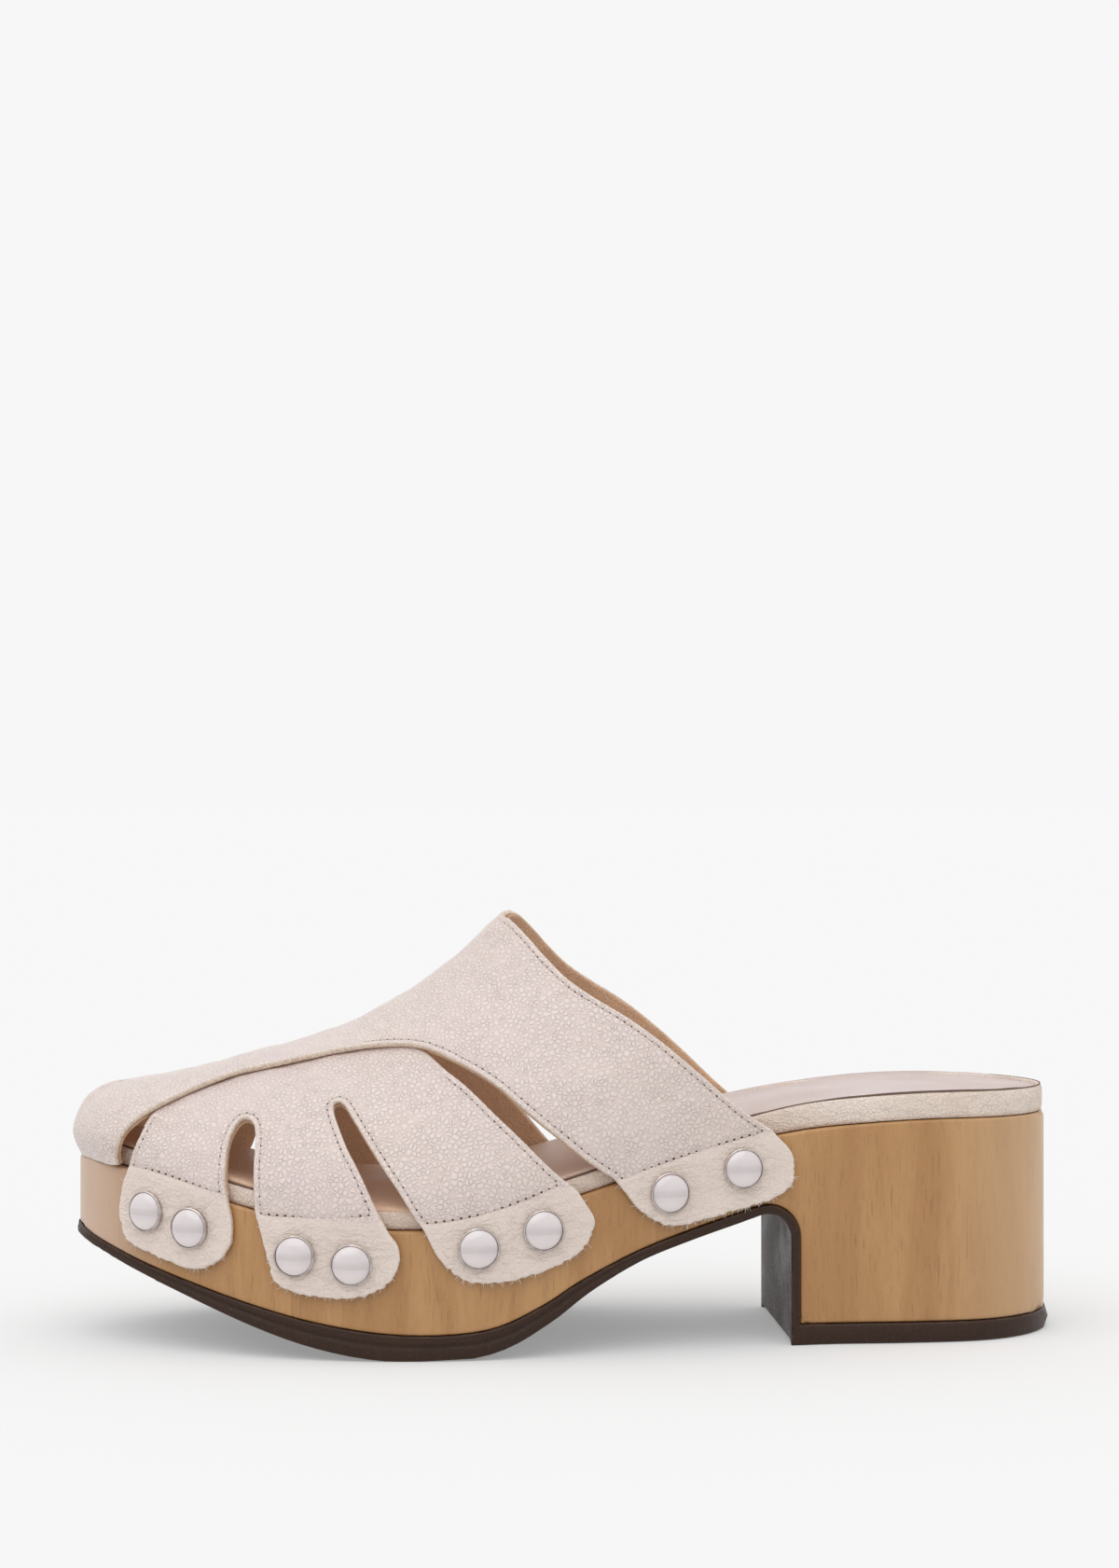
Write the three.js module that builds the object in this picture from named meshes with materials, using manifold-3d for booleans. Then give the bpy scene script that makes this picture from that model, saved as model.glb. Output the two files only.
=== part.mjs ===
import * as THREE from "three";
import { mergeVertices } from "three/addons/utils/BufferGeometryUtils.js";
import Module from "manifold-3d";

const wasm = await Module();
wasm.setup();

// A left wooden clog. Millimetres. X runs from the toe (x = 0) to the heel, Z is up from
// the floor, and the lateral (outer) side of the foot is at negative Y.

// Overall sizes
const LENGTH = 250;
const BALL_WIDTH = 90;
const HEEL_WIDTH = 57;
const TOE_TOP = 45.3; // top of the wood over the floor, at the toe tip
const BALL_TOP = 31.5; // the same, under the ball of the foot
const HEEL_TOP = 57; // the same, under the heel
const INSTEP_RISE = 72.5; // inside of the tongue over the wood

// Thicknesses and clearances
const GAP = 0.3; // between pieces that touch
const LEATHER = 1.6;
const LINING = 0.8;
const LINING_GAP = 0.1; // glued to the leather
const LIFT = LEATHER + GAP; // the vamp lies over the side panels
const LINING_RISE = 2; // the lining ends this far above the wood
const OUTSOLE_TOE = 2.4;
const OUTSOLE_BALL = 6.5;
const OUTSOLE_ARCH = 2.6;
const OUTSOLE_BREAST = 2.3;
const OUTSOLE_HEEL = 5.3;
const OUTSOLE_LIP = 0.8; // the outsole stands out past the wood
const FOAM = 4.2;
const SOCK = 1.1;
const RAND = 1.5;

// Heel block
const BREAST_X = 0.728 * LENGTH; // front face of the heel, from the toe
const BREAST_RADIUS = 8.5;

// Footbed edge, in from the wood's outline
const BED_INSET_TOE = 3.9;
const BED_INSET_BALL = 1.7;
const BED_INSET_HEEL = 0.5;

// Upper
const TOE_INSET = 2; // the toe cap stands on the wood, in from its edge
const TOE_BULGE = 2.2;
const MEDIAL_SHIFT = 0.02; // the medial cut-outs lie further back, as a share of the upper
const WALL_SHARE = 0.3; // share of a meridian that lies on that wall
const SHANK_END = 0.784 * LENGTH; // where the last meridian starts, from the toe
const RIDGE_START = 0.048 * LENGTH;
const RIDGE_END = 0.484 * LENGTH;
const TOE_SPREAD = 0.15; // share of the meridians that fan out round the toe
const STATIONS = 26;
const ROWS = 8;

// Studs
const STUD_RADIUS = 4.9;
const STUD_RIM = 0.45;
const DISH_FLOOR = 0.4;
const RIM_HEIGHT = 1.1;
const PEARL_HEIGHT = 2.4;
const SHANK_RADIUS = 0.8;
const SHANK_LENGTH = 9;

// Plan outline: [share of the length, share of the local half width]
const LATERAL = [
  [0, -0.09], [0.009, 0.133], [0.032, 0.322], [0.082, 0.556], [0.128, 0.711], [0.18, 0.856],
  [0.232, 0.956], [0.288, 1.018], [0.36, 1.045], [0.44, 1.023], [0.52, 1], [0.6, 0.99],
  [0.68, 1.01], [0.76, 1.04], [0.84, 1.04], [0.912, 0.965], [0.96, 0.737], [0.99, 0.386],
  [1, 0],
];
const MEDIAL = [
  [0, 0.09], [0.009, 0.311], [0.036, 0.511], [0.08, 0.678], [0.14, 0.822], [0.2, 0.911],
  [0.26, 0.955], [0.32, 0.955], [0.38, 0.918], [0.448, 0.85], [0.52, 0.805], [0.6, 0.8],
  [0.68, 0.845], [0.76, 0.915], [0.84, 0.955], [0.912, 0.912], [0.96, 0.72], [0.99, 0.386],
  [1, 0],
];

// Wood top: [share of the length, share of the rise from the ball to the toe or the heel]
const TOP_FRONT = [[0, 1], [0.032, 0.97], [0.08, 0.8], [0.173, 0.36], [0.248, 0.095]];
const TOP_BALL = 0.332;
const TOP_BACK = [
  [0.412, 0.055], [0.506, 0.306], [0.608, 0.604], [0.708, 0.828], [0.784, 0.914], [0.872, 0.962],
  [1, 0.957],
];

// Depth of the wood below its top, in front of the heel: [share of the length, share of the
// depth at the ball], where the outsole's flat meets the floor.
const BALL_DEPTH = BALL_TOP - OUTSOLE_BALL + GAP;
const FLANGE_DROP = BALL_DEPTH - 1.3; // depth of the wall that the flanges lie on
const WOOD_DEPTH = [
  [0.008, 0.704], [0.04, 0.806], [0.08, 0.87], [0.17, 0.909], [0.25, 0.945], [0.33, 0.996],
  [0.41, 1.012], [0.464, 0.937], [0.506, 0.818], [0.56, 0.731], [0.61, 0.7], [0.66, 0.668],
];

// Height of the ridge of the upper over the wood: [share of the length, share of the rise]
const RIDGE = [
  [0.048, 0.252], [0.108, 0.337], [0.168, 0.446], [0.224, 0.539], [0.284, 0.634], [0.34, 0.743],
  [0.38, 0.834], [0.42, 0.935], [0.448, 1], [0.488, 1.09],
];

// Pattern pieces, as points [q, t] on the lateral half of the upper: q runs along the foot
// and t runs up from the foot of the wall to the ridge.
const VAMP_EDGE = [
  [0.122, 0.3], [0.12, 0.354], [0.128, 0.457], [0.142, 0.562], [0.168, 0.657], [0.209, 0.749],
  [0.259, 0.815], [0.312, 0.85], [0.373, 0.855], [0.435, 0.856], [0.486, 0.847], [0.529, 0.829],
  [0.564, 0.796], [0.59, 0.753], [0.613, 0.676], [0.637, 0.59], [0.657, 0.5], [0.681, 0.413],
  [0.705, 0.323], [0.727, 0.24], [0.738, 0.196], [0.755, 0.15], [0.774, 0.115], [0.8, 0.098],
  [0.85, 0.096], [0.893, 0.1], [0.915, 0.115], [0.925, 0.14], [0.927, 0.18], [0.922, 0.23],
  [0.903, 0.29], [0.888, 0.355], [0.873, 0.425], [0.855, 0.494], [0.835, 0.562], [0.814, 0.63],
  [0.804, 0.688], [0.805, 0.739], [0.814, 0.795], [0.836, 0.867], [0.872, 0.942], [0.913, 1],
];
const SIDE_EDGE = [
  [0.177, 0.71], [0.163, 0.628], [0.156, 0.536], [0.146, 0.406], [0.14, 0.307], [0.13, 0.243],
  [0.126, 0.18], [0.128, 0.13], [0.138, 0.085], [0.157, 0.07], [0.19, 0.063], [0.22, 0.06],
  [0.245, 0.08], [0.265, 0.12], [0.276, 0.17], [0.278, 0.23], [0.272, 0.294], [0.269, 0.369],
  [0.274, 0.497], [0.284, 0.577], [0.297, 0.627], [0.307, 0.64], [0.315, 0.624], [0.316, 0.58],
  [0.308, 0.457], [0.306, 0.376], [0.307, 0.286], [0.312, 0.24], [0.32, 0.175], [0.329, 0.105],
  [0.345, 0.084], [0.371, 0.081], [0.401, 0.081], [0.43, 0.096], [0.455, 0.13], [0.468, 0.18],
  [0.468, 0.235], [0.457, 0.276], [0.447, 0.327], [0.439, 0.389], [0.432, 0.457], [0.425, 0.529],
  [0.424, 0.613], [0.428, 0.658], [0.436, 0.675], [0.444, 0.662], [0.447, 0.614], [0.453, 0.539],
  [0.463, 0.462], [0.475, 0.393], [0.487, 0.321], [0.498, 0.275], [0.51, 0.214], [0.524, 0.17],
  [0.546, 0.13], [0.575, 0.113], [0.614, 0.106], [0.65, 0.111], [0.672, 0.128], [0.685, 0.165],
  [0.688, 0.205], [0.678, 0.255], [0.665, 0.314], [0.65, 0.382], [0.635, 0.459], [0.618, 0.542],
  [0.605, 0.622], [0.595, 0.68], [0.589, 0.76], [0.577, 0.826], [0.543, 0.887], [0.487, 0.907],
  [0.4, 0.909], [0.321, 0.897], [0.254, 0.866], [0.209, 0.815],
];
const STUDS = [
  [0.168, 0.185], [0.226, 0.178], [0.354, 0.184], [0.417, 0.181], [0.556, 0.219],
  [0.628, 0.223], [0.777, 0.203], [0.865, 0.211],
];

// Helpers for curves

const mix = (a, b, f) => a + (b - a) * f;

function ease(low, high, x) {
  const f = Math.min(Math.max((x - low) / (high - low), 0), 1);
  return f * f * (3 - 2 * f);
}

// A smooth line through the points, with the given number of steps between two of them.
function smoothLine(points, steps) {
  const curve = new THREE.SplineCurve(points.map(([a, b]) => new THREE.Vector2(a, b)));
  return curve.getPoints((points.length - 1) * steps);
}

// Value of a line's y at x, for a line that runs towards positive x.
function heightAt(line, x) {
  let k = 1;
  while (k < line.length - 1 && line[k].x < x) k++;
  const a = line[k - 1];
  const b = line[k];
  return mix(a.y, b.y, Math.min(Math.max((x - a.x) / (b.x - a.x), 0), 1));
}

// The line moved to its right by the distance that amount gives for each point.
function offsetLine(line, amount, closed = false) {
  return line.map((p, i) => {
    const n = line.length;
    const before = closed ? line[(i + n - 1) % n] : line[Math.max(i - 1, 0)];
    const after = closed ? line[(i + 1) % n] : line[Math.min(i + 1, n - 1)];
    const along = after.clone().sub(before).normalize();
    return new THREE.Vector2(p.x + along.y * amount(p), p.y - along.x * amount(p));
  });
}

// Helpers for solids

function toSolid(geometry) {
  const bare = new THREE.BufferGeometry();
  bare.setAttribute("position", geometry.getAttribute("position"));
  bare.setIndex(geometry.getIndex());
  const merged = mergeVertices(bare, 1e-4);
  const data = new wasm.Mesh({
    numProp: 3,
    vertProperties: new Float32Array(merged.getAttribute("position").array),
    triVerts: new Uint32Array(merged.getIndex().array),
  });
  return new wasm.Manifold(data);
}

function toMesh(name, solid, look) {
  const data = solid.getMesh();
  const geometry = new THREE.BufferGeometry();
  geometry.setAttribute("position", new THREE.BufferAttribute(data.vertProperties, 3));
  geometry.setIndex(new THREE.BufferAttribute(data.triVerts, 1));
  geometry.computeVertexNormals();
  const mesh = new THREE.Mesh(geometry, new THREE.MeshStandardMaterial(look));
  mesh.name = name;
  return mesh;
}

// Seen from the side: points (x, z), solid along the whole width.
function sidePrism(points) {
  const width = 2 * BALL_WIDTH;
  const shape = new THREE.Shape(points);
  const geometry = new THREE.ExtrudeGeometry(shape, { depth: width, bevelEnabled: false });
  geometry.rotateX(Math.PI / 2);
  geometry.translate(0, width / 2, 0);
  return toSolid(geometry);
}

// Seen from above: points (x, y), solid over the whole height.
function planPrism(points) {
  const shape = new THREE.Shape(points);
  const depth = 2 * HEEL_TOP + INSTEP_RISE;
  const geometry = new THREE.ExtrudeGeometry(shape, { depth, bevelEnabled: false });
  geometry.translate(0, 0, -HEEL_TOP / 2);
  return toSolid(geometry);
}

// The wood's curves

function halfWidth(share) {
  return mix(BALL_WIDTH, HEEL_WIDTH, ease(0.4, 0.8, share)) / 2;
}

// The whole outline, with both ends smooth: toe, lateral side, heel, medial side.
function planLoop() {
  const place = (sign) => ([u, w]) => new THREE.Vector3(u * LENGTH, sign * w * halfWidth(u), 0);
  const points = [
    ...LATERAL.slice(1).map(place(-1)),
    ...MEDIAL.slice(1, -1).reverse().map(place(1)),
    new THREE.Vector3(0, 0.09 * halfWidth(0), 0),
  ];
  const curve = new THREE.CatmullRomCurve3(points, true, "catmullrom", 0.5);
  return curve.getPoints(points.length * 2).slice(0, -1).map((p) => new THREE.Vector2(p.x, p.y));
}

const PLAN = planLoop();
const TOE_INDEX = PLAN.reduce((best, p, i) => (p.x < PLAN[best].x ? i : best), 0);
const HEEL_INDEX = PLAN.reduce((best, p, i) => (p.x > PLAN[best].x ? i : best), 0);

// One side of the outline, from the toe tip to the back of the heel.
function planHalf(side) {
  const line = [];
  const step = side === 0 ? 1 : PLAN.length - 1;
  for (let i = TOE_INDEX; i !== HEEL_INDEX; i = (i + step) % PLAN.length) line.push(PLAN[i]);
  line.push(PLAN[HEEL_INDEX]);
  return line;
}

const HALVES = [planHalf(0), planHalf(1)];

const WOOD_TOP = smoothLine(
  [
    ...TOP_FRONT.map(([u, f]) => [u * LENGTH, mix(BALL_TOP, TOE_TOP, f)]),
    [TOP_BALL * LENGTH, BALL_TOP],
    ...TOP_BACK.map(([u, f]) => [u * LENGTH, mix(BALL_TOP, HEEL_TOP, f)]),
  ],
  3,
);
const woodTop = (x) => heightAt(WOOD_TOP, x);

// Wood's underside from the toe to the foot of the heel's front face.
function underside() {
  const front = WOOD_DEPTH.map(([u, share]) => {
    return [u * LENGTH, woodTop(u * LENGTH) - share * BALL_DEPTH];
  });
  const line = smoothLine(front, 3);
  const last = line[line.length - 1];
  const slope = last.clone().sub(line[line.length - 2]).normalize();
  const start = Math.atan2(slope.y, slope.x) + Math.PI / 2;
  const centreX = BREAST_X - BREAST_RADIUS;
  const run = centreX + BREAST_RADIUS * Math.cos(start) - last.x;
  const centreZ = last.y + (slope.y / slope.x) * run - BREAST_RADIUS * Math.sin(start);
  for (let k = 0; k <= 8; k++) {
    const angle = mix(start, 0, k / 8);
    const x = centreX + BREAST_RADIUS * Math.cos(angle);
    line.push(new THREE.Vector2(x, centreZ + BREAST_RADIUS * Math.sin(angle)));
  }
  line.push(new THREE.Vector2(BREAST_X, OUTSOLE_HEEL));
  return line;
}

const UNDERSIDE = underside();

function outsoleThickness(p) {
  const u = p.x / LENGTH;
  const front = mix(OUTSOLE_TOE, OUTSOLE_BALL, ease(0.02, 0.3, u));
  const middle = mix(front, OUTSOLE_ARCH, ease(0.36, 0.58, u));
  return mix(middle, OUTSOLE_BREAST, ease(0.66, 0.72, u));
}

// Sole pieces

function woodBase() {
  const foot = UNDERSIDE.map((p) => p.clone());
  const top = WOOD_TOP.map((p) => p.clone()).reverse();
  top[0].x += 1;
  top[top.length - 1].x -= 1;
  const side = [
    new THREE.Vector2(-1, foot[0].y + 1),
    ...foot,
    new THREE.Vector2(LENGTH + 1, OUTSOLE_HEEL),
    ...top,
  ];
  return sidePrism(side).intersect(planPrism(PLAN));
}

function outsole() {
  const below = offsetLine(UNDERSIDE, outsoleThickness).filter((p) => p.y > 0 || p.x < BREAST_X / 2);
  const bottom = below.map((p) => new THREE.Vector2(p.x, Math.max(p.y, 0)));
  const above = offsetLine(UNDERSIDE, () => GAP).reverse();
  const corner = above.shift();
  const lip = OUTSOLE_LIP + 1;
  const breast = BREAST_X - OUTSOLE_BREAST;
  const side = [
    new THREE.Vector2(-lip, bottom[0].y + 1),
    ...bottom.filter((p) => p.x < breast - 0.01),
    new THREE.Vector2(breast, 0),
    new THREE.Vector2(LENGTH + lip, 0),
    new THREE.Vector2(LENGTH + lip, OUTSOLE_HEEL - GAP),
    new THREE.Vector2(corner.x, OUTSOLE_HEEL - GAP),
    ...above,
    new THREE.Vector2(-lip, above[above.length - 1].y + 1),
  ];
  const plan = offsetLine(PLAN, () => OUTSOLE_LIP, true);
  return sidePrism(side).intersect(planPrism(plan));
}

function bedInset(p) {
  const u = p.x / LENGTH;
  const front = mix(BED_INSET_TOE, BED_INSET_BALL, ease(0.02, 0.12, u));
  return mix(front, BED_INSET_HEEL, ease(0.74, 0.84, u));
}

// A layer of the footbed: its foot and its top over the wood, its edge in from the outline.
function bedLayer(low, high, inset) {
  const plan = offsetLine(PLAN, (p) => -bedInset(p) - inset, true);
  const top = WOOD_TOP.map((p) => p.clone());
  top[0].x -= 1;
  top[top.length - 1].x += 1;
  const lower = top.map((p) => new THREE.Vector2(p.x, p.y + low));
  const upper = top.map((p) => new THREE.Vector2(p.x, p.y + high)).reverse();
  return sidePrism([...lower, ...upper]).intersect(planPrism(plan));
}

// The upper's surface

// A point of the outline's polyline with its direction, at a distance along it.
function alongHalf(side, q) {
  const line = HALVES[0];
  const end = line.findIndex((p) => p.x > SHANK_END);
  const lengths = [0];
  for (let i = 1; i <= end; i++) lengths.push(lengths[i - 1] + line[i].distanceTo(line[i - 1]));
  const want = q * lengths[end];
  let k = 1;
  while (k < end && lengths[k] < want) k++;
  const f = (want - lengths[k - 1]) / (lengths[k] - lengths[k - 1]);
  const x = mix(line[k - 1].x, line[k].x, f);
  return pointAt(HALVES[side], x, side);
}

function pointAt(line, x, side) {
  let k = 1;
  while (k < line.length - 1 && line[k].x < x) k++;
  const f = (x - line[k - 1].x) / (line[k].x - line[k - 1].x);
  const tangent = (i) => {
    const before = line[Math.max(i - 1, 0)];
    const after = line[i + 1];
    const t = after.clone().sub(before).normalize();
    return i === 0 ? new THREE.Vector2(0, side === 0 ? -1 : 1) : t;
  };
  const along = tangent(k - 1).lerp(tangent(k), f).normalize();
  const y = mix(line[k - 1].y, line[k].y, f);
  const sign = side === 0 ? 1 : -1;
  return { x, y, along, out: new THREE.Vector2(sign * along.y, -sign * along.x) };
}

const RIDGE_Y = 2; // where the ridge ends, beside the middle line
const RIDGE_LINE = smoothLine(RIDGE.map(([u, f]) => [u * LENGTH, f * INSTEP_RISE]), 3);
const ridgeHeight = (x) => woodTop(x) + heightAt(RIDGE_LINE, x) - LIFT;

// Share of the ridge where meridian q ends. Near the toe the meridians fan out from one point.
function ridgeShare(q) {
  const rise = (f) => Math.hypot(f, TOE_SPREAD) - TOE_SPREAD;
  return rise(q) / rise(1);
}

// The four control points of a meridian above the wood, with the point where it starts.
function meridian(side, q) {
  const foot = alongHalf(side, q);
  const onWall = ease(0.05, 0.12, q);
  const inset = mix(-TOE_INSET, GAP, onWall);
  const base = new THREE.Vector3(foot.x + foot.out.x * inset, foot.y + foot.out.y * inset, 0);
  const top = woodTop(foot.x);
  const ridgeX = mix(RIDGE_START, RIDGE_END, ridgeShare(q));
  const ridgeY = mix(4, RIDGE_Y, q);
  const ridge = new THREE.Vector3(ridgeX, ridgeY, ridgeHeight(ridgeX));
  const slope = ridgeHeight(ridgeX + 0.5) - ridgeHeight(ridgeX - 0.5);
  const start = base.clone().setZ(top + LINING_RISE * ease(0.05, 0.2, q));
  const height = ridge.z - start.z;
  const lean = 1.15 * ease(0.35, 1, q);
  const bulge = TOE_BULGE * (1 - ease(0.02, 0.2, q));
  const low = new THREE.Vector3(
    start.x - lean * foot.along.x * 0.47 * height + foot.out.x * bulge,
    start.y - lean * foot.along.y * 0.47 * height + foot.out.y * bulge,
    start.z + 0.47 * height,
  );
  const reach = Math.hypot(base.x - ridge.x, base.y - ridge.y);
  const dx = (base.x - ridge.x) / reach;
  const dy = (base.y - ridge.y) / reach;
  const across = new THREE.Vector3(dx, dy, dx * slope).normalize();
  const high = ridge.clone().addScaledVector(across, reach * mix(0.95, 0.55, ease(0, 0.25, q)));
  return { start, low, high, ridge, top };
}

function onUpper(side, q, t) {
  const { start, low, high, ridge, top } = meridian(side, q);
  if (t < WALL_SHARE) {
    return start.clone().setZ(mix(top - FLANGE_DROP, start.z, t / WALL_SHARE));
  }
  const curve = new THREE.CubicBezierCurve3(start, low, high, ridge);
  return curve.getPoint((t - WALL_SHARE) / (1 - WALL_SHARE));
}

// How far the vamp lies above the surface, as a share of its lift.
const liftShare = (t) => ease(0.3, 0.52, t);

// Both halves as one grid of points with their normals. The halves share the toe meridian
// and the ridge.
function upperGrid() {
  const points = [];
  const rows = [];
  const index = [];
  const rowShare = (j) => (j === 0 ? 0 : mix(WALL_SHARE, 1, (j - 1) / (ROWS - 1)));
  for (let side = 0; side < 2; side++) {
    index.push([]);
    for (let i = 0; i <= STATIONS; i++) {
      index[side].push([]);
      for (let j = 0; j <= ROWS; j++) {
        if (side === 1 && (i === 0 || j === ROWS)) {
          index[1][i].push(index[0][i][j]);
          continue;
        }
        const t = rowShare(j);
        index[side][i].push(points.length);
        points.push(onUpper(side, i / STATIONS, t));
        rows.push(t);
      }
    }
  }
  const faces = index.map((half, side) => halfFaces(half, side));
  const geometry = new THREE.BufferGeometry().setFromPoints(points);
  geometry.setIndex([...faces[0], ...faces[1]].flat());
  geometry.computeVertexNormals();
  return { points, rows, faces, normals: geometry.getAttribute("normal") };
}

function halfFaces(index, side) {
  const faces = [];
  for (let i = 0; i < STATIONS; i++) {
    for (let j = 0; j < ROWS; j++) {
      const a = index[i][j];
      const b = index[i + 1][j];
      const c = index[i + 1][j + 1];
      const d = index[i][j + 1];
      faces.push(side === 0 ? [a, b, c] : [a, c, b]);
      faces.push(side === 0 ? [a, c, d] : [a, d, c]);
    }
  }
  return faces;
}

const UPPER = upperGrid();

// A closed sheet between two levels over the surface. Each level may depend on t.
function sheet(faces, low, high) {
  const move = (level) => (p, i) => {
    const n = new THREE.Vector3().fromBufferAttribute(UPPER.normals, i);
    return p.clone().addScaledVector(n, level(UPPER.rows[i]));
  };
  const count = UPPER.points.length;
  const points = [...UPPER.points.map(move(low)), ...UPPER.points.map(move(high))];
  const triangles = [];
  const open = new Map();
  for (const [a, b, c] of faces) {
    triangles.push([a + count, b + count, c + count], [a, c, b]);
    for (const [from, to] of [[a, b], [b, c], [c, a]]) {
      if (!open.delete(to + "_" + from)) open.set(from + "_" + to, [from, to]);
    }
  }
  for (const [from, to] of open.values()) {
    triangles.push([from, to, to + count], [from, to + count, from + count]);
  }
  const geometry = new THREE.BufferGeometry().setFromPoints(points);
  geometry.setIndex(triangles.flat());
  return toSolid(geometry.toNonIndexed());
}

// Pattern pieces, seen from the side

// How much further back the medial side's pattern lies: nothing at the flanges and the ridge.
function medialShift(q, t) {
  const rise = Math.min(Math.max((t - WALL_SHARE) / (1 - WALL_SHARE), 0), 1);
  const share = 1.5 - 0.5 * ease(0.3, 0.5, q) + 0.3 * ease(0.8, 1, q);
  const bow = Math.sin(Math.PI * rise) ** (rise > 0.5 ? 0.35 : 0.6);
  return MEDIAL_SHIFT * share * ease(0.04, 0.2, q) * bow;
}

function sideView(points, side) {
  return smoothLine(points, 1).map((p) => {
    const q = p.x + side * medialShift(p.x, p.y);
    const at = onUpper(0, Math.min(q, 1), Math.min(p.y, 1));
    return new THREE.Vector2(at.x, at.z);
  });
}

function vampOutline(side) {
  const edge = sideView(VAMP_EDGE, side);
  const first = edge[0];
  const apex = edge[edge.length - 1];
  const rim = [-12, 0, first.x * 0.3, first.x * 0.65, first.x];
  const toe = rim.map((x) => new THREE.Vector2(x, woodTop(Math.max(x, 0)) + GAP));
  return [
    ...toe,
    ...edge.slice(1),
    new THREE.Vector2(apex.x - 9, apex.y + 12),
    new THREE.Vector2(-12, apex.y + 12),
  ];
}

function sideOutline(side) {
  return sideView([...SIDE_EDGE, SIDE_EDGE[0]], side).slice(0, -1);
}

// A prism for each side of the ridge's plane, joined.
function twoSided(outline) {
  const half = (side) => {
    const block = new THREE.BoxGeometry(4 * LENGTH, 2 * BALL_WIDTH, 4 * LENGTH);
    block.translate(0, (side === 0 ? -1 : 1) * BALL_WIDTH + RIDGE_Y, 0);
    return sidePrism(outline(side)).intersect(toSolid(block));
  };
  return half(0).add(half(1));
}

// Everything above the line where the linings end.
function aboveLining() {
  const line = WOOD_TOP.map((p) => new THREE.Vector2(p.x, p.y + LINING_RISE));
  line[0].x -= 12;
  line.push(new THREE.Vector2(LENGTH, HEEL_TOP + 2 * INSTEP_RISE));
  line.push(new THREE.Vector2(-12, HEEL_TOP + 2 * INSTEP_RISE));
  return sidePrism(line);
}

const BOTH = [...UPPER.faces[0], ...UPPER.faces[1]];
const LINING_FOOT = aboveLining();

function vamp() {
  const low = (t) => LIFT * liftShare(t);
  return sheet(BOTH, low, (t) => low(t) + LEATHER).intersect(twoSided(vampOutline));
}

function vampLining() {
  const high = (t) => LIFT * liftShare(t) - LINING_GAP;
  const around = (side) => offsetLine(sideOutline(side), () => 2 * GAP, true);
  return sheet(BOTH, (t) => high(t) - LINING, high)
    .intersect(twoSided(vampOutline))
    .subtract(twoSided(around))
    .intersect(LINING_FOOT);
}

function sidePanel(side) {
  return sheet(UPPER.faces[side], () => 0, () => LEATHER).intersect(sidePrism(sideOutline(side)));
}

function sideLining(side) {
  return sheet(UPPER.faces[side], () => -LINING_GAP - LINING, () => -LINING_GAP)
    .intersect(sidePrism(sideOutline(side)))
    .intersect(LINING_FOOT);
}

// Studs: lathed about their own axis, which points out of the shoe

const DISH_BASE = LEATHER + GAP; // over the wall's surface

function lathe(profile, segments) {
  return new THREE.LatheGeometry(profile.map(([r, z]) => new THREE.Vector2(r, z)), segments);
}

function nailGeometry() {
  const inner = STUD_RADIUS - STUD_RIM;
  const profile = [
    [0, -SHANK_LENGTH - DISH_BASE],
    [SHANK_RADIUS, 1.5 - SHANK_LENGTH - DISH_BASE],
    [SHANK_RADIUS, 0],
    [STUD_RADIUS - 0.3, 0],
    [STUD_RADIUS, DISH_FLOOR],
    [STUD_RADIUS, RIM_HEIGHT],
    [inner, RIM_HEIGHT],
    [inner, DISH_FLOOR],
    [0, DISH_FLOOR],
  ];
  return lathe(profile, 10);
}

function pearlGeometry() {
  const foot = DISH_FLOOR + GAP;
  const radius = STUD_RADIUS - STUD_RIM - GAP;
  const profile = [[0, foot], [radius, foot]];
  for (let k = 0; k <= 3; k++) {
    const a = ((k / 3) * Math.PI) / 2;
    profile.push([radius * Math.cos(a), foot + 0.5 + (PEARL_HEIGHT - 0.5) * Math.sin(a)]);
  }
  profile[profile.length - 1][0] = 0;
  return lathe(profile, 10);
}

function studPlace(side, [q, t]) {
  const at = onUpper(side, q, t);
  const { out } = alongHalf(side, q);
  const outward = new THREE.Vector3(out.x, out.y, 0);
  const turn = new THREE.Quaternion().setFromUnitVectors(new THREE.Vector3(0, 1, 0), outward);
  return { at, outward, turn };
}

function studHole(place) {
  const depth = SHANK_LENGTH + DISH_BASE + 2 * GAP;
  const geometry = new THREE.CylinderGeometry(SHANK_RADIUS + GAP, SHANK_RADIUS + GAP, depth, 10);
  geometry.translate(0, DISH_BASE - depth / 2 + GAP, 0);
  geometry.applyQuaternion(place.turn);
  geometry.translate(place.at.x, place.at.y, place.at.z);
  return toSolid(geometry);
}

// Colours

const looks = {
  wood: { color: "#af8a62", roughness: 0.55, metalness: 0 },
  rubber: { color: "#433026", roughness: 0.85, metalness: 0 },
  leather: { color: "#dccfc8", roughness: 0.55, metalness: 0 },
  lining: { color: "#9e7d66", roughness: 0.95, metalness: 0 },
  foam: { color: "#cfc4ba", roughness: 0.95, metalness: 0 },
  rand: { color: "#d8c7bc", roughness: 0.6, metalness: 0 },
  sock: { color: "#d9cecc", roughness: 0.6, metalness: 0 },
  pearl: { color: "#dcd6d6", roughness: 0.15, metalness: 0 },
  metal: { color: "#b9b4b0", roughness: 0.3, metalness: 1 },
};

// Assembly

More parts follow.
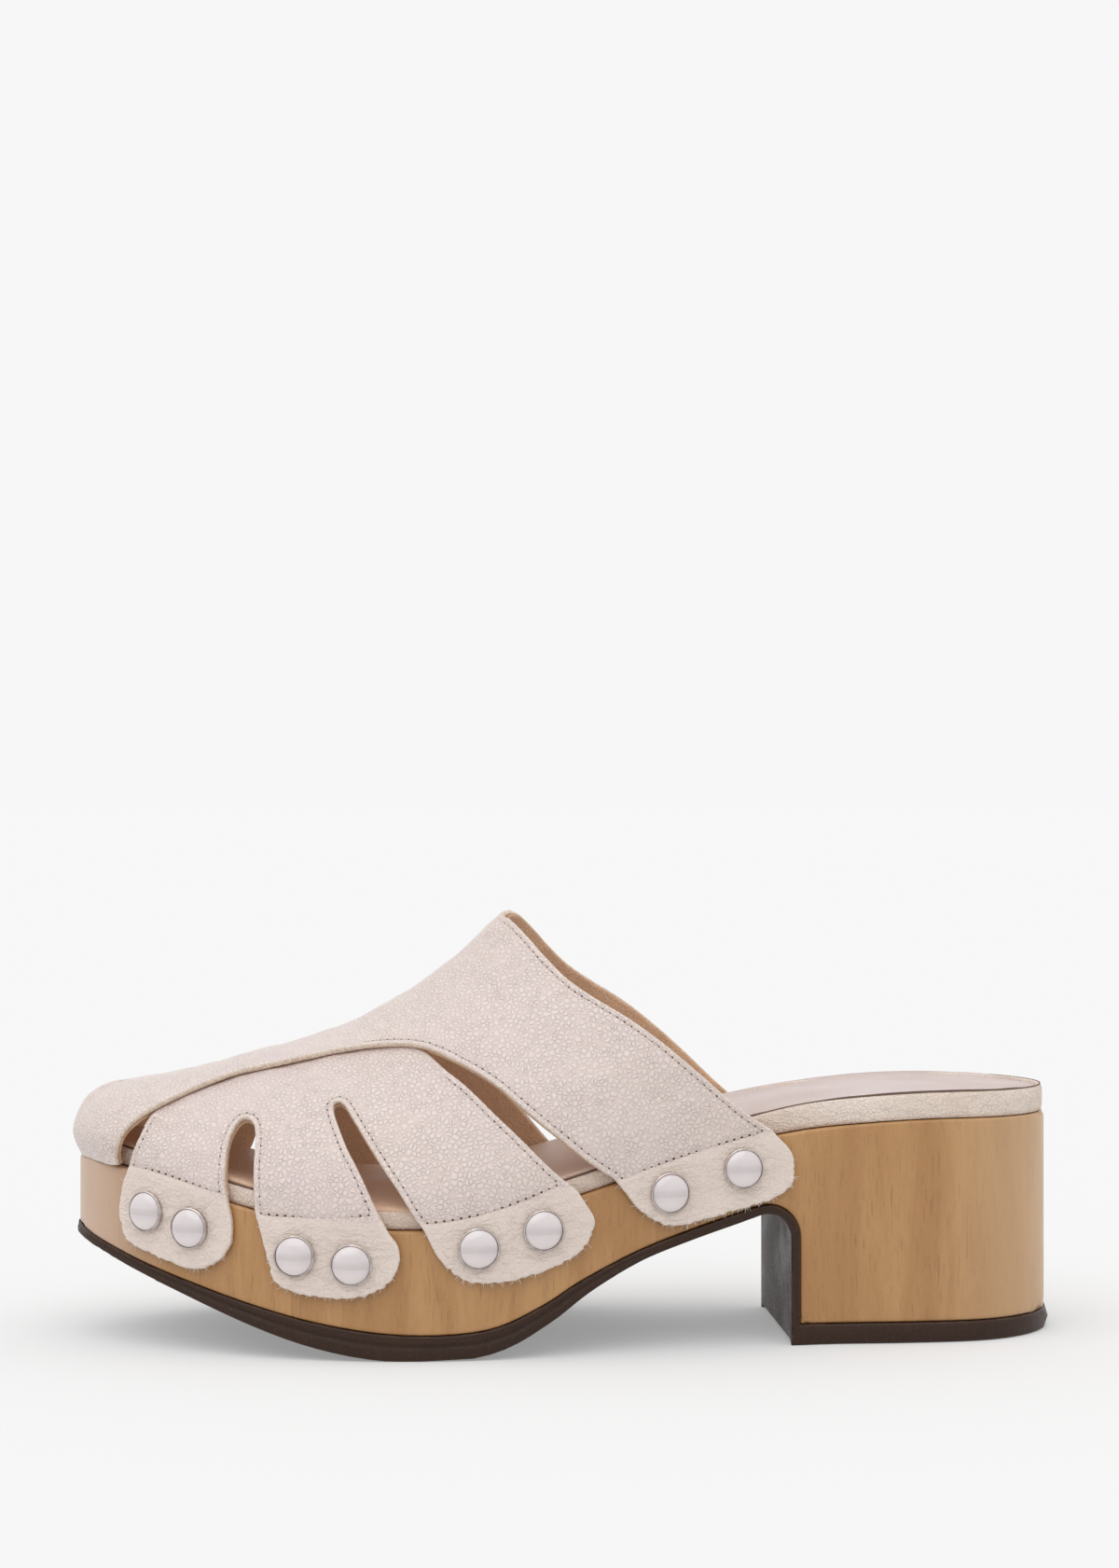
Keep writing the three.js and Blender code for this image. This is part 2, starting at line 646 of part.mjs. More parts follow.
function solePieces(holes) {
  const base = holes.reduce((solid, hole) => solid.subtract(hole), woodBase());
  const ring = bedLayer(GAP, GAP + FOAM, 0).subtract(bedLayer(0, 2 * GAP + FOAM, RAND));
  return [
    toMesh("wood_base", base, looks.wood),
    toMesh("outsole", outsole(), looks.rubber),
    toMesh("footbed_foam", bedLayer(GAP, GAP + FOAM, RAND + GAP), looks.foam),
    toMesh("footbed_rand", ring, looks.rand),
    toMesh("footbed_sock", bedLayer(2 * GAP + FOAM, 2 * GAP + FOAM + SOCK, 0), looks.sock),
  ];
}

function upperPieces(holes) {
  const pierced = (solid) => holes.reduce((left, hole) => left.subtract(hole), solid);
  return [
    toMesh("vamp", pierced(vamp()), looks.leather),
    toMesh("vamp_lining", vampLining(), looks.lining),
    toMesh("side_panel_lateral", pierced(sidePanel(0)), looks.leather),
    toMesh("side_panel_medial", pierced(sidePanel(1)), looks.leather),
    toMesh("side_lining_lateral", sideLining(0), looks.lining),
    toMesh("side_lining_medial", sideLining(1), looks.lining),
  ];
}

function studPieces(name, place) {
  const seat = place.at.clone().addScaledVector(place.outward, DISH_BASE);
  const nail = toMesh("stud_nail_" + name, toSolid(nailGeometry()), looks.metal);
  const pearl = toMesh("stud_pearl_" + name, toSolid(pearlGeometry()), looks.pearl);
  for (const mesh of [nail, pearl]) {
    mesh.position.copy(seat);
    mesh.quaternion.copy(place.turn);
  }
  return [nail, pearl];
}

const clog = new THREE.Group();
clog.name = "wooden_clog";
const places = ["lateral", "medial"].flatMap((word, side) =>
  STUDS.map((stud, k) => ({ name: word + "_" + (k + 1), ...studPlace(side, stud) })),
);
const holes = places.map(studHole);
const pieces = new THREE.Group();
pieces.add(...solePieces(holes), ...upperPieces(holes));
for (const place of places) pieces.add(...studPieces(place.name, place));

// The origin is on the floor, under the middle of the whole clog.
const middle = new THREE.Box3().setFromObject(pieces, true).getCenter(new THREE.Vector3());
pieces.position.set(-middle.x, -middle.y, 0);
clog.add(pieces);

export default clog;
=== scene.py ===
"""A wooden-soled slip-on clog: carved wood base, rubber outsole, padded footbed, leather upper
with cut-outs, pearl-topped studs. Shapes are worked out in millimetres and set down in metres.
"""

import logging
import math
from dataclasses import dataclass, field
from enum import Enum

import bpy
import numpy as np
from mathutils import Matrix, Vector
from mathutils.geometry import delaunay_2d_cdt
from mathutils.kdtree import KDTree


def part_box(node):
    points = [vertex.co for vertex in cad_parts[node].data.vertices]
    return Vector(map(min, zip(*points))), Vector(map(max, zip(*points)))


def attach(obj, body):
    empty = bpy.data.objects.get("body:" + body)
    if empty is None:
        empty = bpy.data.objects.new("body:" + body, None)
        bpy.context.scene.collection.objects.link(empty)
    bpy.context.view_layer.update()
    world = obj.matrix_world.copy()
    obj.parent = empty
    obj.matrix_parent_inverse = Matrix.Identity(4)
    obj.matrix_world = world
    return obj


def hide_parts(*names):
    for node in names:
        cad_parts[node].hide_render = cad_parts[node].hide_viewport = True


logging.basicConfig(level=logging.INFO, format="%(message)s")
LOG = logging.getLogger("clog")

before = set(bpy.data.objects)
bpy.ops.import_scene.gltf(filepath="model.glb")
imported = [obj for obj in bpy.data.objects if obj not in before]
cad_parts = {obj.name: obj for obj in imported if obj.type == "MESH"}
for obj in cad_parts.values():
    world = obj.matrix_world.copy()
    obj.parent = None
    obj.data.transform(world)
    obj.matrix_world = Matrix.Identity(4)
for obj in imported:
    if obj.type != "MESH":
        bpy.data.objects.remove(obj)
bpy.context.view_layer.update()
BODY = "root"
Array = np.ndarray
Piece = bpy.types.Object
Tree = bpy.types.NodeTree
Socket = bpy.types.NodeSocket


class Side(Enum):
    """The two sides of the shoe, by the sign of y."""

    LATERAL = -1
    MEDIAL = 1


# Curves


def mix(a: float | Array, b: float | Array, f: float | Array) -> float | Array:
    """The value a share f of the way from a to b."""
    return a + (b - a) * f


def ease(low: float, high: float, x: float | Array) -> float | Array:
    """A smooth step from 0 at low to 1 at high."""
    f = np.clip((x - low) / (high - low), 0, 1)
    return f * f * (3 - 2 * f)


def bell(x: float | Array, width: float) -> float | Array:
    """A bump of height 1 at x = 0 that fades over the width."""
    return np.exp(-((x / width) ** 2))


def smooth_line(points: list[tuple[float, float]], steps: int, closed: bool = False) -> Array:
    """A smooth line through points.

    Args:
        points: The points that the line goes through.
        steps: How many pieces each span is cut into.
        closed: Whether the line returns to its first point.

    Returns:
        The line's points, one row each.
    """
    p = np.array(points, float)
    count = len(p)
    spans = count if closed else count - 1
    out = []
    for i in range(spans):
        if closed:
            a, b, c, d = (p[(i + k) % count] for k in (-1, 0, 1, 2))
        else:
            a, b, c, d = (p[min(max(i + k, 0), count - 1)] for k in (-1, 0, 1, 2))
        for f in np.arange(steps) / steps:
            cubic = -a + 3 * b - 3 * c + d
            square = 2 * a - 5 * b + 4 * c - d
            out.append(0.5 * (2 * b + (c - a) * f + square * f**2 + cubic * f**3))
    if not closed:
        out.append(p[-1])
    return np.array(out)


def unit(vectors: Array) -> Array:
    """The vectors at length 1."""
    return vectors / (np.linalg.norm(vectors, axis=-1, keepdims=True) + 1e-12)


def lengths_of(line: Array) -> Array:
    """Distance along a line at each of its points."""
    return np.r_[0, np.cumsum(np.linalg.norm(np.diff(line, axis=0), axis=1))]


def turn_right(line: Array, closed: bool) -> Array:
    """Unit vectors that point to the right of a flat line at each of its points."""
    if closed:
        run = np.roll(line, -1, axis=0) - np.roll(line, 1, axis=0)
    else:
        run = np.gradient(line, axis=0)
    run = unit(run)
    return np.stack([run[:, 1], -run[:, 0]], axis=1)


def out_of(run: Array, side: Side) -> Array:
    """Directions out of the shoe, square to directions along one side of its outline."""
    return np.stack([run[..., 1], -run[..., 0]], axis=-1) * -side.value


def points_at(want: Array, run: Array, line: Array) -> Array:
    """Points of a flat line at wanted distances, given the distance at each of its points."""
    return np.stack([np.interp(want, run, line[:, k]) for k in (0, 1)], axis=-1)


def on_floor(points: Array) -> Array:
    """Flat points as points in space, at height 0."""
    return np.c_[points, np.zeros(len(points))]


def inside(points: Array, loop: Array) -> Array:
    """Which flat points lie inside a closed loop."""
    hit = np.zeros(len(points), bool)
    x, y = points[:, 0], points[:, 1]
    for a, b in zip(loop, np.roll(loop, -1, axis=0)):
        if a[1] == b[1]:
            continue
        crosses = (a[1] > y) != (b[1] > y)
        hit ^= crosses & (x < (b[0] - a[0]) * (y - a[1]) / (b[1] - a[1]) + a[0])
    return hit


@dataclass(frozen=True)
class Last:
    """The forms that every piece follows: the plan outline, the wood's top and underside, and
    the surface that the upper is drawn over. x runs from toe to heel, z up from the floor."""

    length: float = 250.0
    ball_width: float = 90.0
    heel_width: float = 57.0
    toe_top: float = 45.3
    ball_top: float = 31.5
    heel_top: float = 57.0
    instep_rise: float = 72.5
    gap: float = 0.3
    leather: float = 1.6
    lining_rise: float = 2.0
    outsole_ball: float = 6.5
    breast_x: float = 182.0
    breast_radius: float = 8.5
    outsole_heel: float = 5.3
    toe_inset: float = 2.0
    toe_bulge: float = 2.2
    wall_share: float = 0.3
    shank_end: float = 196.0
    ridge_start: float = 12.0
    ridge_end: float = 121.0
    toe_spread: float = 0.15
    bow_share: float = 0.47
    lean: float = 1.15
    lateral: tuple = (
        (0, -0.09), (0.009, 0.133), (0.032, 0.322), (0.082, 0.556), (0.128, 0.711), (0.18, 0.856),
        (0.232, 0.956), (0.288, 1.018), (0.36, 1.045), (0.44, 1.023), (0.52, 1), (0.6, 0.99),
        (0.68, 1.01), (0.76, 1.04), (0.84, 1.04), (0.912, 0.965), (0.96, 0.737), (0.99, 0.386),
        (1, 0),
    )
    medial: tuple = (
        (0, 0.09), (0.009, 0.311), (0.036, 0.511), (0.08, 0.678), (0.14, 0.822), (0.2, 0.911),
        (0.26, 0.955), (0.32, 0.955), (0.38, 0.918), (0.448, 0.85), (0.52, 0.805), (0.6, 0.8),
        (0.68, 0.845), (0.76, 0.915), (0.84, 0.955), (0.912, 0.912), (0.96, 0.72), (0.99, 0.386),
        (1, 0),
    )
    top_front: tuple = ((0, 1), (0.032, 0.97), (0.08, 0.8), (0.173, 0.36), (0.248, 0.095))
    top_ball: float = 0.332
    top_back: tuple = (
        (0.412, 0.055), (0.506, 0.306), (0.608, 0.604), (0.708, 0.828), (0.784, 0.914),
        (0.872, 0.962), (1, 0.957),
    )
    wood_depth: tuple = (
        (0.008, 0.704), (0.04, 0.806), (0.08, 0.87), (0.17, 0.909), (0.25, 0.945), (0.33, 0.996),
        (0.41, 1.012), (0.464, 0.937), (0.506, 0.818), (0.56, 0.731), (0.61, 0.7), (0.66, 0.668),
    )
    ridge: tuple = (
        (0.048, 0.252), (0.108, 0.337), (0.168, 0.446), (0.224, 0.539), (0.284, 0.634),
        (0.34, 0.743), (0.38, 0.834), (0.42, 0.935), (0.448, 1), (0.488, 1.09),
    )
    tables: dict = field(default_factory=dict)

    def __post_init__(self) -> None:
        """Works out the lines and tables that the methods look values up in."""
        t = self.tables
        t["plan"] = self.plan_loop()
        t["top"] = smooth_line(
            [(u * self.length, mix(self.ball_top, self.toe_top, f)) for u, f in self.top_front]
            + [(self.top_ball * self.length, self.ball_top)]
            + [(u * self.length, mix(self.ball_top, self.heel_top, f)) for u, f in self.top_back],
            12,
        )
        t["ridge"] = smooth_line(
            [(u * self.length, f * self.instep_rise) for u, f in self.ridge], 12
        )
        t["halves"] = {side: self.half(side) for side in Side}
        t["normals"] = self.normal_tables()

    @property
    def lift(self) -> float:
        """How far the vamp's inner face stands off the surface where it covers a side panel."""
        return self.leather + self.gap

    @property
    def ball_depth(self) -> float:
        """Depth of the wood where the outsole's flat meets the floor."""
        return self.ball_top - self.outsole_ball + self.gap

    @property
    def wall_drop(self) -> float:
        """Depth of the wall that the flanges lie on."""
        return self.ball_depth - 1.3

    def fan(self, q: Array) -> Array:
        """How far along the ridge the lines up the surface end, slower near the toe."""
        low = self.toe_spread
        return (np.hypot(q, low) - low) / (math.hypot(1, low) - low)

    def half_width(self, u: float | Array) -> float | Array:
        """Half of the plan's width at a share of the length."""
        return mix(self.ball_width, self.heel_width, ease(0.4, 0.8, u)) / 2

    def plan_loop(self) -> Array:
        """The outline seen from above: toe, lateral side, heel, medial side."""
        points = [(u * self.length, -w * self.half_width(u)) for u, w in self.lateral[1:]]
        points += [(u * self.length, w * self.half_width(u)) for u, w in self.medial[1:-1][::-1]]
        points.append((0, 0.09 * self.half_width(0)))
        return smooth_line(points, 16, closed=True)

    def half(self, side: Side) -> dict:
        """One side of the outline from the toe tip to the heel, with its directions."""
        plan = self.tables["plan"]
        toe = int(plan[:, 0].argmin())
        heel = int(plan[:, 0].argmax())
        turned = np.roll(plan, -toe, axis=0)
        heel = (heel - toe) % len(plan)
        line = turned[: heel + 1]
        if side is Side.MEDIAL:
            line = np.vstack([turned[:1], turned[heel:][::-1]])
        line = line.copy()
        run = np.gradient(line, axis=0)
        run[0] = (0, side.value)
        run[-1] = (0, -side.value)
        return {"line": line, "run": unit(run), "s": lengths_of(line)}

    def wood_top(self, x: float | Array) -> float | Array:
        """Height of the wood's top."""
        return np.interp(x, self.tables["top"][:, 0], self.tables["top"][:, 1])

    def ridge_height(self, x: float | Array) -> float | Array:
        """Height of the upper's ridge."""
        line = self.tables["ridge"]
        return self.wood_top(x) + np.interp(x, line[:, 0], line[:, 1]) - self.lift

    def along(self, side: Side, q: Array) -> tuple[Array, Array, Array]:
        """Points on the outline at shares of the upper's length.

        Args:
            side: Side of the shoe.
            q: Shares from 0 at the toe tip to 1 at the back of the upper.

        Returns:
            The points, the directions along the outline, and the directions out of the shoe.
        """
        first = self.tables["halves"][Side.LATERAL]
        end = np.interp(self.shank_end, first["line"][:, 0], first["s"])
        x = np.interp(q * end, first["s"], first["line"][:, 0])
        h = self.tables["halves"][side]
        root = np.sqrt(np.maximum(h["line"][:, 0], 0))
        at = np.sqrt(np.maximum(x, 0))
        y = np.interp(at, root, h["line"][:, 1])
        run = unit(points_at(at, root, h["run"]))
        return np.stack([x, y], axis=-1), run, out_of(run, side)

    def surface(self, side: Side, q: Array, t: Array) -> Array:
        """Points of the surface that the upper is drawn over.

        Args:
            side: Side of the shoe.
            q: Shares along the foot.
            t: Shares up from the foot of the wall to the ridge.

        Returns:
            The points, one row each.
        """
        q = np.clip(np.asarray(q, float), 0, 1)
        t = np.clip(np.asarray(t, float), 0, 1)
        foot, run, out = self.along(side, q)
        inset = mix(-self.toe_inset, self.gap, ease(0.05, 0.12, q))
        base = foot + out * inset[..., None]
        top = self.wood_top(foot[..., 0])
        rx = mix(self.ridge_start, self.ridge_end, self.fan(q))
        ry = mix(4.0, 2.0, q)
        rz = self.ridge_height(rx)
        slope = self.ridge_height(rx + 0.5) - self.ridge_height(rx - 0.5)
        start_z = top + self.lining_rise * ease(0.05, 0.2, q)
        height = self.bow_share * (rz - start_z)
        lean = self.lean * ease(0.35, 1, q) * height
        bulge = self.toe_bulge * (1 - ease(0.02, 0.2, q))
        start = np.stack([base[..., 0], base[..., 1], start_z], axis=-1)
        low = start.copy()
        low[..., :2] += out * bulge[..., None] - run * lean[..., None]
        low[..., 2] += height
        ridge = np.stack([rx, ry, rz], axis=-1)
        gap = base - ridge[..., :2]
        reach = np.linalg.norm(gap, axis=-1)
        d = gap / reach[..., None]
        across = unit(np.stack([d[..., 0], d[..., 1], d[..., 0] * slope], axis=-1))
        high = ridge + across * (reach * mix(0.95, 0.55, ease(0, 0.25, q)))[..., None]
        f = np.clip((t - self.wall_share) / (1 - self.wall_share), 0, 1)[..., None]
        curve = (1 - f) ** 3 * start + 3 * (1 - f) ** 2 * f * low
        curve = curve + 3 * (1 - f) * f**2 * high + f**3 * ridge
        wall = start.copy()
        share = np.clip(t / self.wall_share, 0, 1)
        wall[..., 2] = mix(top - self.wall_drop, start_z, share)
        return np.where((t < self.wall_share)[..., None], wall, curve)

    def normal_tables(self) -> dict:
        """Directions out of the surface on a grid of q and t, smooth over the two seams."""
        qs = np.linspace(0, 1, 241)
        ts = np.linspace(0, 1, 181)
        grid = {s: self.surface(s, *np.meshgrid(qs, ts, indexing="ij")) for s in Side}
        result = {}
        for side, other in ((Side.LATERAL, Side.MEDIAL), (Side.MEDIAL, Side.LATERAL)):
            mine = np.concatenate([grid[other][1:4][::-1], grid[side]], axis=0)
            over = np.concatenate([grid[side][1:4][::-1], grid[other]], axis=0)
            wide = np.concatenate([mine, over[:, -4:-1][:, ::-1]], axis=1)
            normal = np.cross(np.gradient(wide, axis=0), np.gradient(wide, axis=1))
            normal = unit(normal[3:, :-3])
            if normal[len(qs) // 2, len(ts) // 3, 1] * side.value < 0:
                normal = -normal
            normal[0, -1] = normal[1, -1]
            result[side] = normal
        return result

    def normal(self, side: Side, q: Array, t: Array) -> Array:
        """Unit vectors out of the surface at q and t."""
        table = self.tables["normals"][side]
        a = np.clip(q, 0, 1) * (table.shape[0] - 1)
        b = np.clip(t, 0, 1) * (table.shape[1] - 1)
        i = np.minimum(a.astype(int), table.shape[0] - 2)
        j = np.minimum(b.astype(int), table.shape[1] - 2)
        u = (a - i)[..., None]
        v = (b - j)[..., None]
        n = (1 - u) * ((1 - v) * table[i, j] + v * table[i, j + 1])
        n = n + u * ((1 - v) * table[i + 1, j] + v * table[i + 1, j + 1])
        return unit(n)

    def underside(self) -> Array:
        """The wood's underside from the toe to the foot of the heel's front face, as (x, z)."""
        points = [
            (u * self.length, self.wood_top(u * self.length) - f * self.ball_depth)
            for u, f in self.wood_depth
        ]
        line = smooth_line(points, 5)
        step = line[-1] - line[-2]
        slope = step / np.linalg.norm(step)
        begin = math.atan2(slope[1], slope[0]) + math.pi / 2
        cx = self.breast_x - self.breast_radius
        run = cx + self.breast_radius * math.cos(begin) - line[-1][0]
        cz = line[-1][1] + slope[1] / slope[0] * run - self.breast_radius * math.sin(begin)
        angles = np.linspace(begin, 0, 13)
        arc = np.stack([np.cos(angles), np.sin(angles)], axis=1) * self.breast_radius
        return np.vstack([line, arc + (cx, cz)])


LAST = Last()
WOOD_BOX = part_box("wood_base")
PLAN_Y = LAST.tables["plan"][:, 1]
SHIFT = np.array(
    [
        WOOD_BOX[0][0] * 1000,
        (WOOD_BOX[0][1] + WOOD_BOX[1][1]) * 500 - (PLAN_Y.min() + PLAN_Y.max()) / 2,
        0.0,
    ]
)


def to_metres(points: Array) -> Array:
    """Turns points of the last's own frame, in millimetres, into the scene's metres."""
    return (np.asarray(points, float) + SHIFT) * 0.001


# Meshes


def select_only(piece: Piece | None = None) -> None:
    """Leaves nothing in edit mode, and only the piece, if any, selected and active."""
    if bpy.context.object and bpy.context.object.mode != "OBJECT":
        bpy.ops.object.mode_set(mode="OBJECT")
    bpy.ops.object.select_all(action="DESELECT")
    if piece:
        piece.select_set(True)
        bpy.context.view_layer.objects.active = piece


@dataclass
class MeshParts:
    """Points and faces gathered for one piece, with a material number for each face and
    values that its materials read at each point."""

    points: list = field(default_factory=list)
    faces: list = field(default_factory=list)
    looks: list = field(default_factory=list)
    values: dict = field(default_factory=dict)
    count: int = 0

    def add(self, points: Array, faces: list, look: int | Array = 0, **values: Array) -> int:
        """Adds points with faces that count from the first of them.

        Args:
            points: New points in millimetres.
            faces: Faces as lists of point numbers, 0 for the first new point.
            look: Material number of the faces, or one for each.
            values: Named values at the new points.

        Returns:
            The number of the first new point.
        """
        first = self.count
        self.points.append(np.asarray(points, float))
        self.count += len(points)
        self.faces += [[int(i) + first for i in face] for face in faces]
        self.looks += np.broadcast_to(look, len(faces)).tolist()
        for name in dict.fromkeys([*self.values, *values]):
            got = self.values.setdefault(name, [np.zeros(first)])
            got.append(np.broadcast_to(np.asarray(values.get(name, 0.0), float), len(points)))
        return first

    def build(self, name: str, materials: list, weld: float = 0.0) -> Piece:
        """Makes the object.

        Args:
            name: Name of the piece.
            materials: Its materials, by number.
            weld: Distance in millimetres under which points become one.

        Returns:
            The new object, at the origin, with smooth faces.
        """
        mesh = bpy.data.meshes.new(name)
        mesh.from_pydata(to_metres(np.vstack(self.points)).tolist(), [], self.faces)
        for key, parts in self.values.items():
            layer = mesh.attributes.new(key, "FLOAT", "POINT")
            layer.data.foreach_set("value", np.concatenate(parts).astype(np.float32))
        for material in materials:
            mesh.materials.append(material)
        mesh.polygons.foreach_set("material_index", np.array(self.looks, np.int32))
        mesh.polygons.foreach_set("use_smooth", np.ones(len(self.faces), bool))
        mesh.update()
        piece = bpy.data.objects.new(name, mesh)
        bpy.context.scene.collection.objects.link(piece)
        if weld:
            select_only(piece)
            bpy.ops.object.mode_set(mode="EDIT")
            bpy.ops.mesh.select_all(action="SELECT")
            bpy.ops.mesh.remove_doubles(threshold=weld * 0.001)
            bpy.ops.mesh.normals_make_consistent(inside=False)
            bpy.ops.object.mode_set(mode="OBJECT")
        return piece


def finish_piece(piece: Piece, slot: str, *nodes: str) -> None:
    """Says what a piece is to the frame: its body and the solids it stands for."""
    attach(piece, BODY)
    if nodes:
        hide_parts(*nodes)
    LOG.info("%s: %d faces", piece.name, len(piece.data.polygons))


def thin_out(points: Array, kept: Array, pitch: float) -> Array:
    """Which points stay when none may be nearer than the pitch to a kept or earlier point.

    Args:
        points: Candidate points in space.
        kept: Points that stay in any case.
        pitch: Smallest distance.

    Returns:
        Numbers of the candidates that stay.
    """
    cells: dict = {}
    stay = []
    steps = [(a, b, c) for a in (-1, 0, 1) for b in (-1, 0, 1) for c in (-1, 0, 1)]

    def near(p: Array, cell: tuple) -> bool:
        """Whether a point that stays is nearer than the pitch."""
        around = (tuple(i + d for i, d in zip(cell, step)) for step in steps)
        others = (other for place in around for other in cells.get(place, ()))
        return any(((other - p) ** 2).sum() < pitch * pitch for other in others)

    for n, p in enumerate(np.vstack([kept, points])):
        cell = tuple((p // pitch).astype(int).tolist())
        candidate = n >= len(kept)
        if candidate and near(p, cell):
            continue
        cells.setdefault(cell, []).append(p)
        if candidate:
            stay.append(n - len(kept))
    return np.array(stay, int)


def triangles_in(points: Array, loops: list[list[int]], keep) -> tuple[Array, Array]:
    """Triangles between flat points.

    Args:
        points: The flat points.
        loops: Chains of point numbers that triangles may not cross.
        keep: Function from centres of triangles to which of them stay.

    Returns:
        The points, some of them new where chains cross, and the triangles.
    """
    edges = [(a, b) for loop in loops for a, b in zip(loop, loop[1:]) if a != b]
    flat = [Vector((float(a), float(b))) for a, b in points]
    verts, _, faces, *_ = delaunay_2d_cdt(flat, edges, [], 0, 1e-6)
    verts = np.array([(v[0], v[1]) for v in verts])
    faces = np.array([f for f in faces if len(f) == 3], int)
    return verts, faces[keep(verts[faces].mean(axis=1))]


def triangles_of(loop: Array, rest: Array) -> tuple[Array, Array]:
    """The points of a flat loop with those inside it, and the triangles between them."""
    ring = [*range(len(loop)), 0]
    return triangles_in(np.vstack([loop, rest]), [ring], lambda centres: inside(centres, loop))


def fill(loop: Array, xs: Array, ys: Array, held: Array, pitch: float) -> Array:
    """Points of a grid inside a flat loop.

    Args:
        loop: The closed loop.
        xs: The grid's places in one direction.
        ys: Its places in the other.
        held: Points that the grid keeps clear of.
        pitch: How far apart points are at least.

    Returns:
        The points that stay.
    """
    grid = np.stack([axis.ravel() for axis in np.meshgrid(xs, ys)], axis=1)
    grid = grid[inside(grid, loop)]
    return grid[thin_out(on_floor(grid), on_floor(held), pitch)]


def ring_faces(count: int, rings: int, closed: bool = False) -> list[list[int]]:
    """Faces between rings of points that follow each other.

    Args:
        count: Points in each ring.
        rings: How many rings there are.
        closed: Whether the last ring joins the first.

    Returns:
        The faces, as lists of point numbers.
    """
    pairs = [(k * count, (k + 1) % rings * count) for k in range(rings if closed else rings - 1)]
    turn = [(i, (i + 1) % count) for i in range(count)]
    return [[a + i, a + j, b + j, b + i] for a, b in pairs for i, j in turn]


def borders(faces: Array) -> list[tuple[int, int]]:
    """Edges that only one triangle has, each in that triangle's direction."""
    seen = set()
    for a, b, c in faces.tolist():
        seen.update(((a, b), (b, c), (c, a)))
    return [(a, b) for a, b in seen if (b, a) not in seen]


def distance_to(points: Array, others: Array) -> Array:
    """Distance from each point to the nearest of the others."""
    tree = KDTree(len(others))
    for i, p in enumerate(others):
        tree.insert(p, i)
    tree.balance()
    return np.array([tree.find(p)[2] for p in points])


# Materials


def linear(red: int, green: int, blue: int) -> tuple[float, float, float, float]:
    """A colour given in display values from 0 to 255, for a shader socket."""
    parts = [value / 255 for value in (red, green, blue)]
    return *(f / 12.92 if f <= 0.04045 else ((f + 0.055) / 1.055) ** 2.4 for f in parts), 1.0


@dataclass
class Nodes:
    """A node tree while it is being wired."""

    tree: Tree

    def add(self, kind: str, settings: dict | None = None, **inputs) -> bpy.types.Node:
        """Adds a node.

        Args:
            kind: The node's type name without "ShaderNode".
            settings: Properties of the node.
            inputs: Values or sockets for its inputs, by name, or by number as in_0.

        Returns:
            The node.
        """
        node = self.tree.nodes.new("ShaderNode" + kind)
        for key, value in (settings or {}).items():
            setattr(node, key, value)
        for key, value in inputs.items():
            socket = node.inputs[int(key[3:]) if key[:3] == "in_" else key]
            if isinstance(value, Socket):
                self.tree.links.new(value, socket)
            else:
                socket.default_value = value
        return node

    def maths(self, operation: str, a, b=0.0, clamp: bool = False) -> Socket:
        """The result of a Math node."""
        settings = {"operation": operation, "use_clamp": clamp}
        return self.add("Math", settings, in_0=a, in_1=b).outputs[0]

    def times(self, a, b) -> Socket:
        """The product of two values."""
        return self.maths("MULTIPLY", a, b)

    def remap(self, value, low: float, high: float, to_low: float = 0.0,
              to_high: float = 1.0) -> Socket:
        """A value moved from one range to another, smoothly."""
        ends = {"in_1": low, "in_2": high, "in_3": to_low, "in_4": to_high}
        return self.add("MapRange", {"interpolation_type": "SMOOTHSTEP"}, in_0=value, **ends).outputs[0]

    def blend(self, factor, a, b) -> Socket:
        """Two colours mixed."""
        return self.add("Mix", {"data_type": "RGBA"}, in_0=factor, in_6=a, in_7=b).outputs[2]

    def two_tone(self, factor, a: tuple, b: tuple) -> Socket:
        """A mix of two colours given in display values."""
        return self.blend(factor, linear(*a), linear(*b))

    def tint(self, colour, other: tuple, mask, share: float = 1.0) -> Socket:
        """A colour that turns to another by a mask, up to a share."""
        return self.blend(mask if share == 1.0 else self.times(mask, share), colour, linear(*other))

    def attribute(self, name: str) -> Socket:
        """A value stored at the mesh's points."""
        return self.add("Attribute", {"attribute_name": name}).outputs["Fac"]

    def place(self) -> Socket:
        """Where a point lies on the shoe, in metres."""
        return self.add("TexCoord").outputs["Object"]

    def along(self) -> Socket:
        """How far a point lies from the shoe's middle towards the heel, in metres."""
        return self.add("SeparateXYZ", Vector=self.place()).outputs["X"]

    def noise(self, place, scale, **more) -> Socket:
        """Noise from 0 to 1."""
        return self.add("TexNoise", Vector=place, Scale=scale, **more).outputs["Fac"]

    def group(self, name: str, **inputs) -> bpy.types.Node:
        """Places a shared effect."""
        return self.add("Group", {"node_tree": Effects.get(name)}, **inputs)

    def cloud(self, scale: float) -> Socket:
        """Slow colour variation, from 0 to 1."""
        return self.group("cloud", Scale=scale).outputs["Tone"]

    def specks(self, scale: float, share: float) -> Socket:
        """Fine specks, from 0 to 1."""
        return self.group("speckle", Scale=scale, Share=share).outputs["Mask"]


